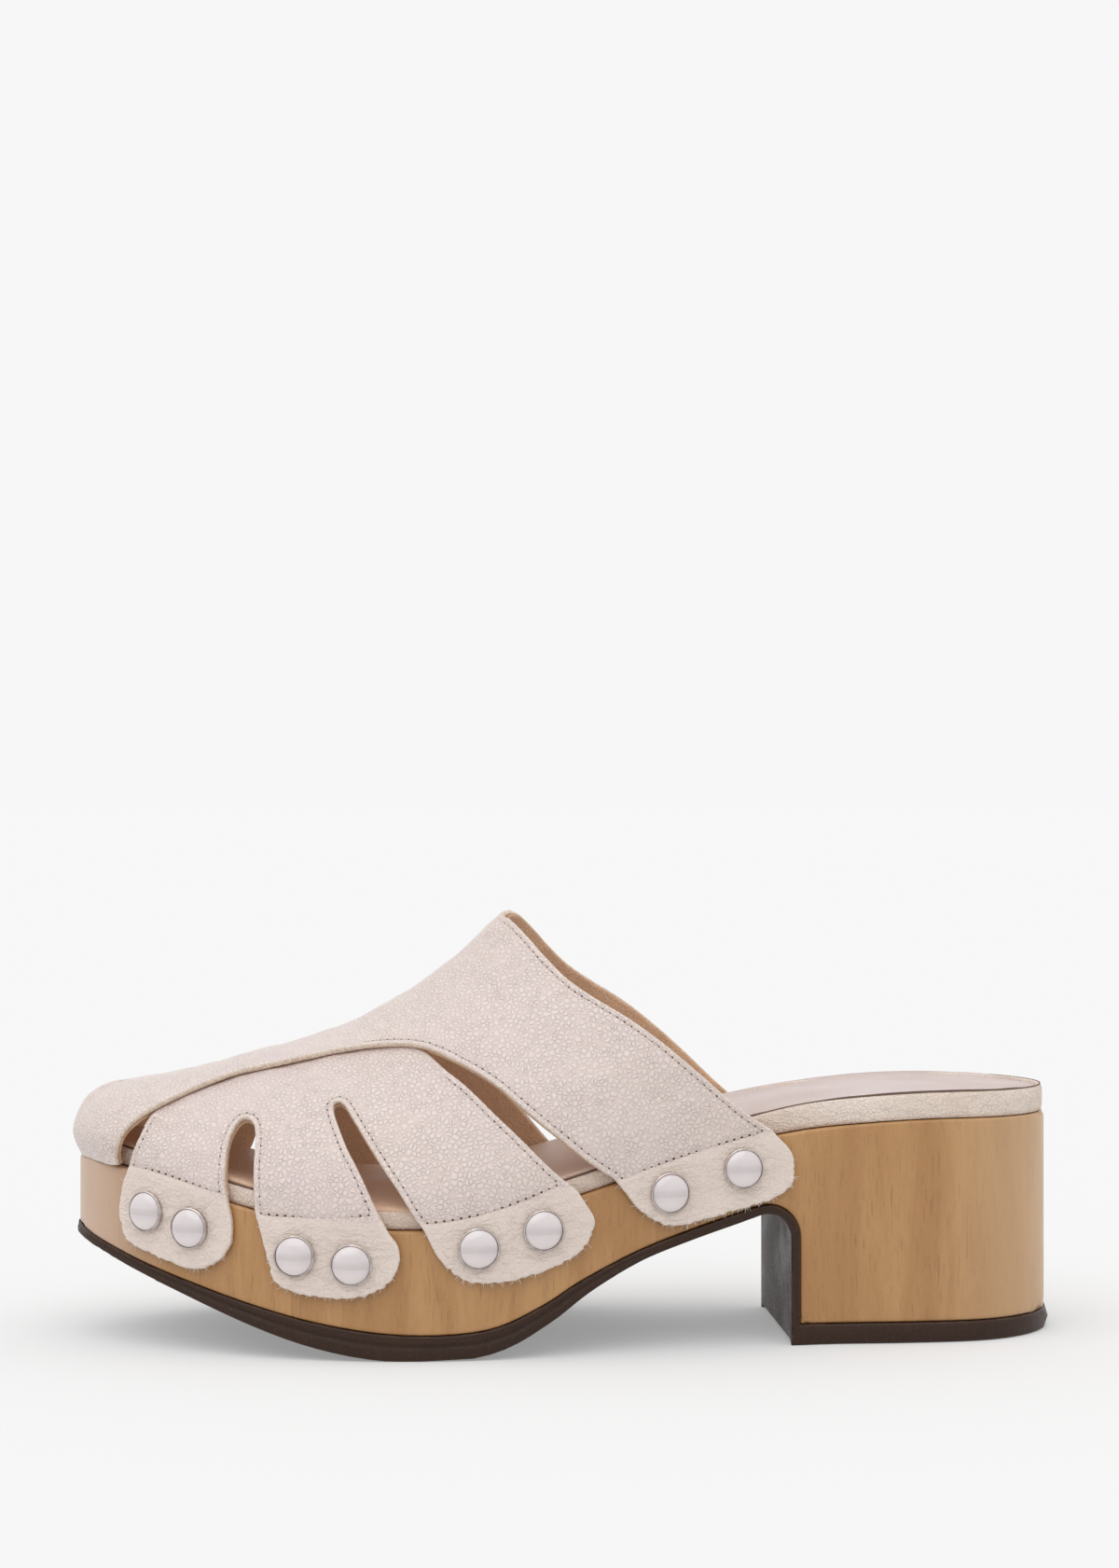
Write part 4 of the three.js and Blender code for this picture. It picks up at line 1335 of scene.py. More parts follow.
@dataclass
class Footbed:
    """The padded footbed: a leather rand round its side, a crowned sock pad on top."""

    inset_toe: float = 3.9
    inset_ball: float = 1.7
    inset_heel: float = 0.5
    rand: tuple = (
        (0.5, 0.2), (0.12, 0.45), (-0.05, 1.2), (-0.12, 2.4), (-0.05, 3.6), (0.15, 4.4),
        (0.55, 4.85), (1.0, 4.9), (1.5, 4.6), (1.6, 2.5), (1.5, 0.3),
    )
    pad: tuple = (
        (1.4, 0.5), (1.3, 3.0), (0.95, 4.5), (0.5, 4.75), (0.22, 5.05), (0.2, 5.45), (0.5, 5.9),
        (1.1, 6.2), (2.0, 6.38),
    )
    seam: tuple = ((0.42, 4.72), (0.3, 4.85), (0.34, 5.0), (0.62, 5.0), (0.66, 4.8))
    crown: float = 0.7
    shoulder: float = 7.0
    heel_rise: float = 2.0
    swell_most: float = 0.5
    pressure: float = 4.0
    swell_frames: int = 20

    def inset(self, x: Array) -> Array:
        """How far the footbed stands in from the plan outline."""
        u = x / LAST.length
        front = mix(self.inset_toe, self.inset_ball, ease(0.02, 0.12, u))
        return mix(front, self.inset_heel, ease(0.74, 0.84, u))

    def outline(self, pitch: float) -> tuple[Array, Array]:
        """The footbed's outline at even steps, with directions out of it."""
        plan = LAST.tables["plan"]
        out = turn_right(plan, True)
        loop = plan - out * self.inset(plan[:, 0])[:, None]
        closed = np.vstack([loop, loop[:1]])
        run = lengths_of(closed)
        steps = int(run[-1] / pitch)
        even = points_at(np.arange(steps) * run[-1] / steps, run, closed)
        return even, turn_right(even, True)

    def height(self, x: Array, rise: float) -> Array:
        """Height of a row: the rand stands taller at the heel, where the sock lies flat."""
        share = ease(0.5, 0.8, x / LAST.length) * ease(0.5, 3.0, rise)
        most = self.heel_rise * (1 - ease(5.0, 6.6, rise))
        return LAST.wood_top(x) + rise + share * most

    def section(self, rows: tuple, pitch: float) -> list[Array]:
        """Loops of points round the footbed, one for each row of a section."""
        line, out = self.outline(pitch)
        loops = []
        for away, rise in rows:
            flat = line - out * away
            loops.append(np.c_[flat, self.height(flat[:, 0], rise)])
        return loops

    def cover(self, parts: MeshParts, rim: Array, base: float, crown: float, up: bool) -> None:
        """Adds a face that closes a loop, crowned over the wood's top."""
        loop = rim[:, :2]
        across = np.arange(-50, 50, 3.0)
        grid = fill(loop, np.arange(2, LAST.length, 3.0), across, loop, 1.7)
        away = distance_to(on_floor(grid), on_floor(loop))
        rise = base + crown * (1 - np.exp(-away / self.shoulder))
        points = np.vstack([rim, np.c_[grid, LAST.wood_top(grid[:, 0]) + rise]])
        _, faces = triangles_of(loop, grid)
        parts.add(points, (faces if up else faces[:, ::-1]).tolist())

    def build(self) -> None:
        """Builds the rand, the seam and the pad."""
        for name, rows, finish, nodes in (("rand_band", self.rand, RAND, ["footbed_rand"]),
                                          ("footbed_seam", self.seam, SEAM, [])):
            parts = MeshParts()
            loops = self.section(rows, 1.6)
            parts.add(np.vstack(loops), ring_faces(len(loops[0]), len(loops), closed=True))
            band = parts.build(name, [finish.make()], weld=0.001)
            finish_piece(band, "rand_leather", *nodes)
        self.build_pad()

    def build_pad(self) -> None:
        """Builds the sock pad, swells it as cloth, and adds one subdivision."""
        parts = MeshParts()
        loops = self.section(self.pad, 2.4)
        parts.add(np.vstack(loops), ring_faces(len(loops[0]), len(loops)))
        self.cover(parts, loops[0], self.pad[0][1], 0.0, False)
        self.cover(parts, loops[-1], self.pad[-1][1], self.crown, True)
        pad = parts.build("sock_pad", [SOCK.make()], weld=0.003)
        self.swell(pad)
        select_only(pad)
        grow = pad.modifiers.new("round", "SUBSURF")
        grow.levels = grow.render_levels = 1
        bpy.ops.object.modifier_apply(modifier="round")
        finish_piece(pad, "sock_leather", "footbed_sock", "footbed_foam")

    def swell(self, pad: Piece) -> None:
        """Lets the pad swell as cloth under pressure, each point by a capped distance."""
        before = np.array([v.co[:] for v in pad.data.vertices])
        select_only(pad)
        cloth = pad.modifiers.new("swell", "CLOTH")
        cloth.settings.effector_weights.gravity = 0.0
        cloth.settings.use_pressure = True
        cloth.settings.uniform_pressure_force = self.pressure
        cloth.settings.quality = 4
        scene = bpy.context.scene
        for number in range(1, self.swell_frames + 1):
            scene.frame_set(number)
        shape = pad.evaluated_get(bpy.context.evaluated_depsgraph_get())
        after = np.array([v.co[:] for v in shape.data.vertices])
        pad.modifiers.remove(cloth)
        scene.frame_set(1)
        move = after - before
        size = np.linalg.norm(move, axis=1, keepdims=True) + 1e-12
        move *= np.minimum(size, self.swell_most * 0.001) / size
        move *= ease(0.0, 0.0012, before[:, 2] - before[:, 2].min())[:, None]
        pad.data.vertices.foreach_set("co", (before + move).ravel())
        pad.data.update()


# Upper


@dataclass
class Pattern:
    """A flat pattern piece in q and t, cut into triangles.

    Attributes:
        flat: Points as (q, t).
        faces: Triangles.
        edge: Distance of each point from the cut edge, in millimetres.
    """

    flat: Array
    faces: Array
    edge: Array


def distance_rank(points: Array, target: Array) -> int:
    """Number of the point nearest to a target."""
    return int(((points - target) ** 2).sum(axis=1).argmin())


@dataclass
class Upper:
    """The leather upper: a vamp over two side panels, suede linings, stitching and frayed
    cut edges."""

    vamp_edge: tuple = (
        (0.122, 0.3), (0.12, 0.354), (0.128, 0.457), (0.142, 0.562), (0.168, 0.657),
        (0.209, 0.749), (0.259, 0.815), (0.312, 0.85), (0.373, 0.855), (0.435, 0.856),
        (0.486, 0.847), (0.529, 0.829), (0.564, 0.796), (0.59, 0.753), (0.613, 0.676),
        (0.637, 0.59), (0.657, 0.5), (0.681, 0.413), (0.705, 0.323), (0.727, 0.24),
        (0.738, 0.196), (0.755, 0.15), (0.774, 0.115), (0.8, 0.098), (0.85, 0.096),
        (0.893, 0.1), (0.915, 0.115), (0.925, 0.14), (0.927, 0.18), (0.922, 0.23),
        (0.903, 0.29), (0.888, 0.355), (0.873, 0.425), (0.855, 0.494), (0.835, 0.562),
        (0.814, 0.63), (0.804, 0.688), (0.805, 0.739), (0.814, 0.795), (0.836, 0.867),
        (0.872, 0.942), (0.913, 1),
    )
    side_edge: tuple = (
        (0.177, 0.71), (0.163, 0.628), (0.156, 0.536), (0.146, 0.406), (0.14, 0.307),
        (0.13, 0.243), (0.126, 0.18), (0.128, 0.13), (0.138, 0.085), (0.157, 0.07),
        (0.19, 0.063), (0.22, 0.06), (0.245, 0.08), (0.265, 0.12), (0.276, 0.17),
        (0.278, 0.23), (0.272, 0.294), (0.269, 0.369), (0.274, 0.497), (0.284, 0.577),
        (0.297, 0.627), (0.307, 0.64), (0.315, 0.624), (0.316, 0.58), (0.308, 0.457),
        (0.306, 0.376), (0.307, 0.286), (0.312, 0.24), (0.32, 0.175), (0.329, 0.105),
        (0.345, 0.084), (0.371, 0.081), (0.401, 0.081), (0.43, 0.096), (0.455, 0.13),
        (0.468, 0.18), (0.468, 0.235), (0.457, 0.276), (0.447, 0.327), (0.439, 0.389),
        (0.432, 0.457), (0.425, 0.529), (0.424, 0.613), (0.428, 0.658), (0.436, 0.675),
        (0.444, 0.662), (0.447, 0.614), (0.453, 0.539), (0.463, 0.462), (0.475, 0.393),
        (0.487, 0.321), (0.498, 0.275), (0.51, 0.214), (0.524, 0.17), (0.546, 0.13),
        (0.575, 0.113), (0.614, 0.106), (0.65, 0.111), (0.672, 0.128), (0.685, 0.165),
        (0.688, 0.205), (0.678, 0.255), (0.665, 0.314), (0.65, 0.382), (0.635, 0.459),
        (0.618, 0.542), (0.605, 0.622), (0.595, 0.68), (0.589, 0.76), (0.577, 0.826),
        (0.543, 0.887), (0.487, 0.907), (0.4, 0.909), (0.321, 0.897), (0.254, 0.866),
        (0.209, 0.815),
    )
    studs: tuple = (
        (0.168, 0.185), (0.226, 0.178), (0.354, 0.184), (0.417, 0.181), (0.556, 0.219),
        (0.628, 0.223), (0.777, 0.203), (0.865, 0.211),
    )
    flange_seams: tuple = (
        ((0.147, 0.322), (0.258, 0.297)), ((0.315, 0.283), (0.431, 0.307)),
        ((0.501, 0.308), (0.647, 0.318)), ((0.721, 0.291), (0.887, 0.294)),
    )
    q_scale: float = 215.0
    t_scale: float = 105.0
    pitch: float = 1.25
    cut_pitch: float = 0.8
    rings: tuple = (0.22, 0.6, 1.0, 1.4, 1.8, 2.4)
    seam_inset: float = 1.4
    stitch: float = 2.05
    lining: float = 0.8
    lining_gap: float = 0.1
    medial_shift: float = 0.02
    fibre_step: float = 0.2
    seed: int = 7

    def __post_init__(self) -> None:
        """Draws the pattern pieces and the seams on them."""
        side = self.even_line(smooth_line(list(self.side_edge), 8, closed=True), True)
        self.side_loop = self.ragged(side)
        self.vamp_chain = self.ragged(self.vamp_cut())
        self.seams = self.draw_seams()

    # Working on the surface

    def laid(self, flat: Array, side: Side) -> Array:
        """Where pattern points lie on a side: the medial cut-outs lie further back, except at
        the flanges and the ridge."""
        if side is Side.LATERAL:
            return flat
        rise = np.clip((flat[:, 1] - LAST.wall_share) / (1 - LAST.wall_share), 0, 1)
        share = 1.5 - 0.5 * ease(0.3, 0.5, flat[:, 0]) + 0.3 * ease(0.8, 1, flat[:, 0])
        bow = np.sin(math.pi * rise) ** np.where(rise > 0.5, 0.35, 0.6)
        shift = self.medial_shift * share * ease(0.04, 0.2, flat[:, 0]) * bow
        return np.stack([flat[:, 0] + shift, flat[:, 1]], axis=1)

    def space(self, flat: Array, side: Side = Side.LATERAL) -> Array:
        """Points of the surface at flat pattern points."""
        at = self.laid(flat, side)
        return LAST.surface(side, at[:, 0], at[:, 1])

    def normals(self, flat: Array, side: Side) -> Array:
        """Directions out of the surface at flat pattern points."""
        at = self.laid(flat, side)
        return LAST.normal(side, at[:, 0], at[:, 1])

    def even_line(self, line: Array, closed: bool, pitch: float | None = None) -> Array:
        """The line with points at even distances on the surface."""
        if closed:
            line = np.vstack([line, line[:1]])
        run = lengths_of(self.space(line))
        steps = max(int(round(run[-1] / (pitch or self.cut_pitch))), 2)
        want = np.linspace(0, run[-1], steps + 1)
        even = points_at(want, run, line)
        return even[:-1] if closed else even

    def step_to(self, flat: Array, move: Array) -> Array:
        """Flat pattern points moved by vectors in space along the surface."""
        e = 1e-3
        dq = np.array([e, 0])
        dt = np.array([0, e])
        q_lo, q_hi = np.clip(flat - dq, 0, 1), np.clip(flat + dq, 0, 1)
        t_lo, t_hi = np.clip(flat - dt, 0, 1), np.clip(flat + dt, 0, 1)
        a = (self.space(q_hi) - self.space(q_lo)) / (q_hi - q_lo)[:, :1]
        b = (self.space(t_hi) - self.space(t_lo)) / (t_hi - t_lo)[:, 1:]
        aa, bb, ab = (a * a).sum(1), (b * b).sum(1), (a * b).sum(1)
        am, bm = (a * move).sum(1), (b * move).sum(1)
        det = aa * bb - ab * ab + 1e-9
        return flat + np.stack([(bb * am - ab * bm) / det, (aa * bm - ab * am) / det], axis=1)

    def inward(self, line: Array, closed: bool, amount: Array | float) -> Array:
        """A cut edge's line moved into the piece, which lies on its left, or on its right
        for a negative amount."""
        p = self.space(line)
        if closed:
            run = np.roll(p, -1, axis=0) - np.roll(p, 1, axis=0)
        else:
            run = np.gradient(p, axis=0)
        normal = LAST.normal(Side.LATERAL, line[:, 0], line[:, 1])
        return self.step_to(line, np.cross(normal, unit(run)) * np.reshape(amount, (-1, 1)))

    def vamp_cut(self) -> Array:
        """The vamp's cut edge: under the toe cap, then round the strap to the tongue's top."""
        toe = []
        for q in np.linspace(0, self.vamp_edge[0][0], 12):
            ts = np.linspace(0.2, 0.4, 400)
            p = LAST.surface(Side.LATERAL, np.full(400, q), ts)
            foot, _, _ = LAST.along(Side.LATERAL, np.array([q]))
            want = LAST.wood_top(foot[0, 0]) + LAST.gap
            toe.append((q, float(np.interp(want, p[:, 2], ts))))
        edge = smooth_line(list(self.vamp_edge), 8)
        toe[-1] = tuple(edge[0])
        first = self.even_line(np.array(toe), False)
        return np.vstack([first, self.even_line(edge, False)[1:]])

    def ragged(self, line: Array) -> Array:
        """The line with the small waves of a cut by hand where it lies on the wood."""
        p = self.space(line)
        noise = np.sin(p[:, 0] * 2.9) + np.sin(p[:, 2] * 3.7 + 1) + np.sin(p[:, 0] * 6.1 + 2)
        on_wood = ease(0.24, 0.16, line[:, 1])
        amount = 0.11 * noise * on_wood
        amount[0] = amount[-1] = 0
        return self.inward(line, False, amount)

    # Seams

    def draw_seams(self) -> dict:
        """The stitch line of each piece: along its cut edge and across its flanges."""
        paths = {}
        for kind, line, closed, begin, finish in (
            ("side", self.side_loop, True, self.side_edge[1], self.side_edge[67]),
            ("vamp", self.vamp_chain, False, self.vamp_edge[11], None),
        ):
            inner = self.inward(line, closed, self.seam_inset)
            ends = [end for seam in self.seams_of(kind) for end in seam]
            marks = [distance_rank(self.space(inner), self.space(np.array([e]))) for e in ends]
            stop = len(inner) - 4 if finish is None else distance_rank(line, finish)
            marks = [distance_rank(line, begin), *marks, stop]
            path = []
            for n, (a, b) in enumerate(zip(marks, marks[1:])):
                if n % 2:
                    path.append(np.linspace(inner[a], inner[b], 12 if closed else 14)[1:-1])
                else:
                    path.append(inner[(a + np.arange((b - a) % len(inner) + 1)) % len(inner)])
            paths[kind] = np.vstack(path)
        return paths

    def seams_of(self, kind: str) -> tuple:
        """The flange seams of the vamp or of a side panel."""
        return self.flange_seams[3:] if kind == "vamp" else self.flange_seams[:3]

    # Pattern pieces

    def to_flat(self, flat: Array) -> Array:
        """Pattern points scaled so that both directions are in about millimetres."""
        return flat * (self.q_scale, self.t_scale)

    def grid(self, pitch: float) -> Array:
        """Points over the whole pattern, close enough for the pitch."""
        q, t = np.meshgrid(
            np.arange(0.002, 1, pitch / self.q_scale), np.arange(0.01, 1, pitch / self.t_scale)
        )
        q = q + (np.arange(q.shape[0])[:, None] % 2) * 0.5 * pitch / self.q_scale
        return np.stack([q.ravel(), t.ravel()], axis=1)

    def cut_out(self, loop: Array, cut: Array, closed: bool, pitch: float, rings: tuple,
                seam: Array | None = None, hole: Array | None = None) -> Pattern:
        """Cuts a pattern piece into triangles.

        Args:
            loop: The piece's outline.
            cut: The part of the outline that is a cut edge.
            closed: Whether the cut edge is the whole outline.
            pitch: Distance between points.
            rings: Distances from the cut edge at which there are rows of points.
            seam: Stitch line, which gets its own rows of points, if any.
            hole: Outline of a part left out, if any.

        Returns:
            The pattern piece.
        """
        fixed, loops = [loop], [[*range(len(loop)), 0]]
        if hole is not None:
            fixed.append(hole)
            loops.append([*range(len(loop), len(loop) + len(hole)), len(loop)])
        shape = self.to_flat(loop)
        rows = []
        for away in rings:
            row = self.inward(cut, closed, away)
            if not closed:
                row[0, 0] = max(row[0, 0], 0)
            rows.append(row)
        if seam is not None:
            line = self.even_line(seam, False, 1.0)
            rows += [self.inward(line, False, away) for away in (0.0, 0.5, -0.5, 1.0, -1.0)]
        rows = np.vstack(rows)
        rows = rows[(rows > 0.002).all(axis=1) & (rows < 0.998).all(axis=1)]
        rows = rows[inside(self.to_flat(rows), shape)]
        base = np.vstack(fixed)
        rows = rows[thin_out(self.space(rows), self.space(base), 0.17)]
        base_rows = np.vstack([base, rows])
        grid = self.grid(pitch * 0.72)
        grid = grid[inside(self.to_flat(grid), shape)]
        grid = grid[thin_out(self.space(grid), self.space(base_rows), pitch * 0.8)]
        flat = np.vstack([base_rows, grid])

        def keep(centres: Array) -> Array:
            """Which triangles are part of the piece."""
            good = inside(centres, shape)
            if hole is not None:
                good &= ~inside(centres, self.to_flat(hole))
            return good

        points, faces = triangles_in(self.to_flat(flat), loops, keep)
        points = points / (self.q_scale, self.t_scale)
        points[: len(loop)] = loop
        used, faces_used = np.unique(faces, return_inverse=True)
        points, faces = points[used], faces_used.reshape(faces.shape)
        border = self.even_line(cut, False, 0.3) if hole is None else np.vstack([cut, hole])
        return Pattern(points, faces, distance_to(self.space(points), self.space(border)))

    def vamp_outline(self) -> Array:
        """The vamp's half outline: cut edge, ridge and toe meridian."""
        chain = self.vamp_chain
        chain[0, 0] = 0.0
        chain[-1, 1] = 1.0
        ridge = np.linspace((chain[-1, 0], 1.0), (0.0, 1.0), 60)
        toe = np.linspace((0.0, 1.0), (0.0, chain[0, 1]), 30)
        ridge, toe = self.even_line(ridge, False, 1.2), self.even_line(toe, False, 1.0)
        return np.vstack([chain, ridge[1:], toe[1:-1]])

    def above_wood(self, loop: Array) -> Array:
        """The outline cut off where the linings end."""
        low = LAST.wall_share + 0.004
        out = []
        for a, b in zip(loop, np.roll(loop, -1, axis=0)):
            if a[1] >= low:
                out.append(a)
            if (a[1] >= low) != (b[1] >= low):
                out.append(a + (b - a) * (low - a[1]) / (b[1] - a[1]))
        return np.array(out)

    # Levels

    @staticmethod
    def base(kind: str, flat: Array) -> Array:
        """How far a piece's inner face lies above the surface: the vamp covers the panels."""
        return LAST.lift * ease(0.3, 0.52, flat[:, 1]) * (kind == "vamp")

    def from_stud(self, points: Array, side: Side, stud: tuple) -> Array:
        """Vectors from a stud's centre to points."""
        return points - self.space(np.array([stud]), side)

    def relief(self, kind: str, side: Side, flat: Array, points: Array, edge: Array) -> Array:
        """How far the leather's outer face rises or dips in millimetres."""
        x, y, z = points.T
        k = 1.0 if side is Side.LATERAL else 0.8
        soft = 0.11 * np.sin(x * 0.31 + z * 0.17 + k) + 0.09 * np.sin(x * 0.12 - z * 0.43 + 2 * k)
        soft = soft + 0.05 * np.sin(x * 0.71 + z * 0.5 + y * 0.3)
        rise = soft * ease(0, 3, edge)
        away = distance_to(points, self.space(self.even_line(self.seams[kind], False, 0.35), side))
        rise = rise - 0.2 * bell(away, 0.5) + 0.05 * bell(away - 1.3, 0.6)
        on_wood = ease(0.33, 0.27, flat[:, 1])
        for n, stud in enumerate(self.studs):
            gap = self.from_stud(points, side, stud)
            away = np.linalg.norm(gap, axis=1)
            turn = np.arctan2(gap[:, 2], gap[:, 0])
            pleats = np.cos(turn * 9 + n * 1.7) + 0.6 * np.cos(turn * 5 + n)
            rise = rise + 0.08 * pleats * bell(away - 6.4, 1.9) * on_wood
            rise = rise - 0.12 * bell(away, 5.6) * on_wood
        wave = np.sin(x * 0.55 + k) + 0.6 * np.sin(x * 1.25 + z)
        low = ease(0.2, 0.1, flat[:, 1])
        rise = rise + 0.13 * (wave + 1.2) * low * ease(5, 0, edge)
        return rise

    def creases(self, side: Side, flat: Array, points: Array) -> Array:
        """Where the leather is creased: round the studs and above the flanges."""
        mask = 0.25 * bell((flat[:, 1] - 0.34) / 0.09, 1.0)
        mask = mask + 0.5 * ease(0.3, 0.26, flat[:, 1])
        for stud in self.studs:
            away = np.linalg.norm(self.from_stud(points, side, stud), axis=1)
            mask = mask + 0.6 * bell(away - 6.0, 2.4)
        return np.clip(mask, 0, 1)

    def flange_mask(self, kind: str, flat: Array) -> Array:
        """Where the leather is a single smooth layer: the flanges below their seams."""
        mask = np.zeros(len(flat))
        for (q0, t0), (q1, t1) in self.seams_of(kind):
            line = t0 + (t1 - t0) * (flat[:, 0] - q0) / (q1 - q0)
            near = (flat[:, 0] > q0 - 0.03) & (flat[:, 0] < q1 + 0.05)
            mask = np.maximum(mask, near * ease(0.008, -0.008, flat[:, 1] - line))
        return mask

    # Meshes

    def sheet(self, kind: str, halves: list, levels, looks: tuple, bulge: float) -> MeshParts:
        """Makes a closed sheet of one or two halves.

        Args:
            kind: The leather piece that it belongs to: vamp or side.
            halves: Sides with their pattern; two halves are joined at the toe and the ridge.
            levels: Function from the kind, a side, pattern points, space points and edge
                distances to the lower and upper level.
            looks: Material numbers of the outer face, the inner face and the cut edge.
            bulge: How far the cut edge swells.

        Returns:
            The sheet.
        """
        rows, normals, faces, masks = [], [], [], []
        shared: dict = {}
        count = 0
        for side, pattern in halves:
            flat, p = pattern.flat, self.space(pattern.flat, side)
            on_seam = (len(halves) == 2) & ((flat[:, 0] < 1e-5) | (flat[:, 1] > 1 - 1e-5))
            number = np.zeros(len(flat), int)
            fresh = []
            for i, key in enumerate(map(tuple, np.round(flat, 5).tolist())):
                if on_seam[i] and key in shared:
                    number[i] = shared[key]
                    continue
                number[i] = count
                if on_seam[i]:
                    shared[key] = count
                count += 1
                fresh.append(i)
            low, high = levels(kind, side, flat, p, pattern.edge)
            rows.append(np.c_[p, low, high, pattern.edge][fresh])
            masks.append((self.flange_mask(kind, flat[fresh]), self.creases(side, flat[fresh], p[fresh])))
            normals.append((number, self.normals(flat, side)))
            tri = number[pattern.faces]
            faces.append(tri[:, ::-1] if side is Side.MEDIAL else tri)
        normal = np.zeros((count, 3))
        for number, values in normals:
            np.add.at(normal, number, values)
        normal = unit(normal)
        rows, tri = np.vstack(rows), np.vstack(faces)
        p, edges = rows[:, :3], rows[:, 5]
        a, b, c = tri[len(tri) // 2]
        if np.cross(p[b] - p[a], p[c] - p[a]) @ normal[a] < 0:
            tri = tri[:, ::-1]
        top = p + normal * rows[:, 4:5]
        under = p + normal * rows[:, 3:4]
        rims = borders(tri)
        out = np.zeros((count, 3))
        for a, b in rims:
            away = unit(np.cross(p[b] - p[a], normal[a]))
            out[a] += away
            out[b] += away
        flange, crease = (np.concatenate(mask) for mask in zip(*masks))
        parts = MeshParts()
        values = {"edge": edges, "flange": flange, "crease": crease}
        parts.add(top, tri.tolist(), looks[0], **values)
        parts.add(under, tri[:, ::-1].tolist(), looks[1], **values)
        border = sorted({i for pair in rims for i in pair})
        place = {v: n for n, v in enumerate(border)}
        walls = []
        for a, b in rims:
            m, n = place[a], place[b]
            walls += [[b - 2 * count, a - 2 * count, m, n], [n, m, a - count, b - count]]
        middle = ((top + under) / 2 + unit(out) * bulge)[border]
        parts.add(middle, walls, looks[2], edge=0.0, flange=flange[border], crease=crease[border])
        return parts

    def soft_edge(self, edge: Array, depth: float, width: float) -> Array:
        """How far a face falls away at the cut edge."""
        f = np.clip(1 - edge / width, 0, 1)
        return depth * (1 - np.sqrt(1 - f**2 + 1e-9))

    def leather_levels(self, kind: str, side: Side, flat: Array, points: Array,
                       edge: Array) -> tuple[Array, Array]:
        """Lower and upper level of a leather piece at its points."""
        base = self.base(kind, flat)
        rise = self.relief(kind, side, flat, points, edge)
        fall = self.soft_edge(edge, 0.42, 0.7)
        lift = np.maximum(rise, 0) * ease(0.2, 0.1, flat[:, 1])
        return base + 0.02 + lift + fall * 0.5, base + LAST.leather + rise - fall

    def lining_levels(self, kind: str, side: Side, flat: Array, points: Array,
                      edge: Array) -> tuple[Array, Array]:
        """Lower and upper level of a lining at its points."""
        x, _, z = points.T
        nap = 0.05 * np.sin(x * 0.9 + z * 0.4) + 0.04 * np.sin(x * 0.5 - z * 1.1)
        fall = self.soft_edge(edge, 0.25, 0.5)
        high = self.base(kind, flat) - self.lining_gap
        return high - self.lining + nap + fall, high - fall * 0.3

    def build_panels(self) -> None:
        """Builds the vamp, the two side panels and their linings."""
        side, vamp = self.side_loop, self.vamp_chain
        panel = {"pitch": self.pitch, "rings": self.rings}
        lining = {"pitch": 2.2, "rings": (0.3, 0.9)}
        cut = self.above_wood(side)
        self.build_pair(
            "leather", self.leather_levels,
            self.cut_out(side, side, True, seam=self.seams["side"], **panel),
            self.cut_out(self.vamp_outline(), vamp, False, seam=self.seams["vamp"], **panel),
        )
        self.build_pair(
            "suede", self.lining_levels,
            self.cut_out(cut, cut, True, **lining),
            self.cut_out(self.above_wood(self.vamp_outline()), self.above_wood(vamp), False,
                         hole=self.inward(side, True, -0.7), **lining),
        )

    def build_pair(self, stuff: str, levels, side: Pattern, vamp: Pattern) -> None:
        """Builds the vamp and the two side panels, or their linings.

        Args:
            stuff: The word in the pieces' names: leather or suede.
            levels: The pieces' level function.
            side: A side panel's pattern.
            vamp: The vamp's half pattern.
        """
        if stuff == "leather":
            materials, looks, bulge = [LEATHER.make(), SUEDE.make(), RAW.make()], (0, 1, 2), 0.12
            slot, vamp_node, side_node = "upper_leather", "vamp", "side_panel_"
        else:
            materials, looks, bulge = [SUEDE.make()], (0, 0, 0), 0.06
            slot, vamp_node, side_node = "lining_suede", "vamp_lining", "side_lining_"
        sheet = self.sheet("vamp", [(s, vamp) for s in Side], levels, looks, bulge)
        finish_piece(sheet.build("vamp_" + stuff, materials), slot, vamp_node)
        for s in Side:
            label = s.name.lower()
            sheet = self.sheet("side", [(s, side)], levels, looks, bulge)
            piece = sheet.build("side_" + stuff + "_" + label, materials)
            finish_piece(piece, slot, side_node + label)

    # Stitching and fibres

    def outer_point(self, kind: str, side: Side, flat: Array) -> tuple[Array, Array]:
        """Points on a piece's outer face, with the directions out of it."""
        p = self.space(flat, side)
        n = self.normals(flat, side)
        rise = self.relief(kind, side, flat, p, np.full(len(flat), self.seam_inset))
        return p + n * (self.base(kind, flat) + LAST.leather + rise)[:, None], n

    def build_stitching(self) -> None:
        """Sews the seams: sunk threads between needle holes painted dark as the shade inside them."""
        for kind, line in self.seams.items():
            even = self.even_line(line, False, self.stitch / 4)
            for side in Side:
                threads, hole_shades = MeshParts(), MeshParts()
                points, normals = self.outer_point(kind, side, even)
                for i in range(0, len(even) - 4, 4):
                    self.thread(threads, points[i : i + 5], normals[i + 2])
                    self.hole(hole_shades, points[i], normals[i], points[i + 1] - points[i])
                label = kind + "_" + side.name.lower()
                finish_piece(threads.build("stitches_" + label, [THREAD.make()]), "upper_leather")
                finish_piece(hole_shades.build("needle_holes_" + label, [HOLE_SHADE.make()]), "upper_leather")

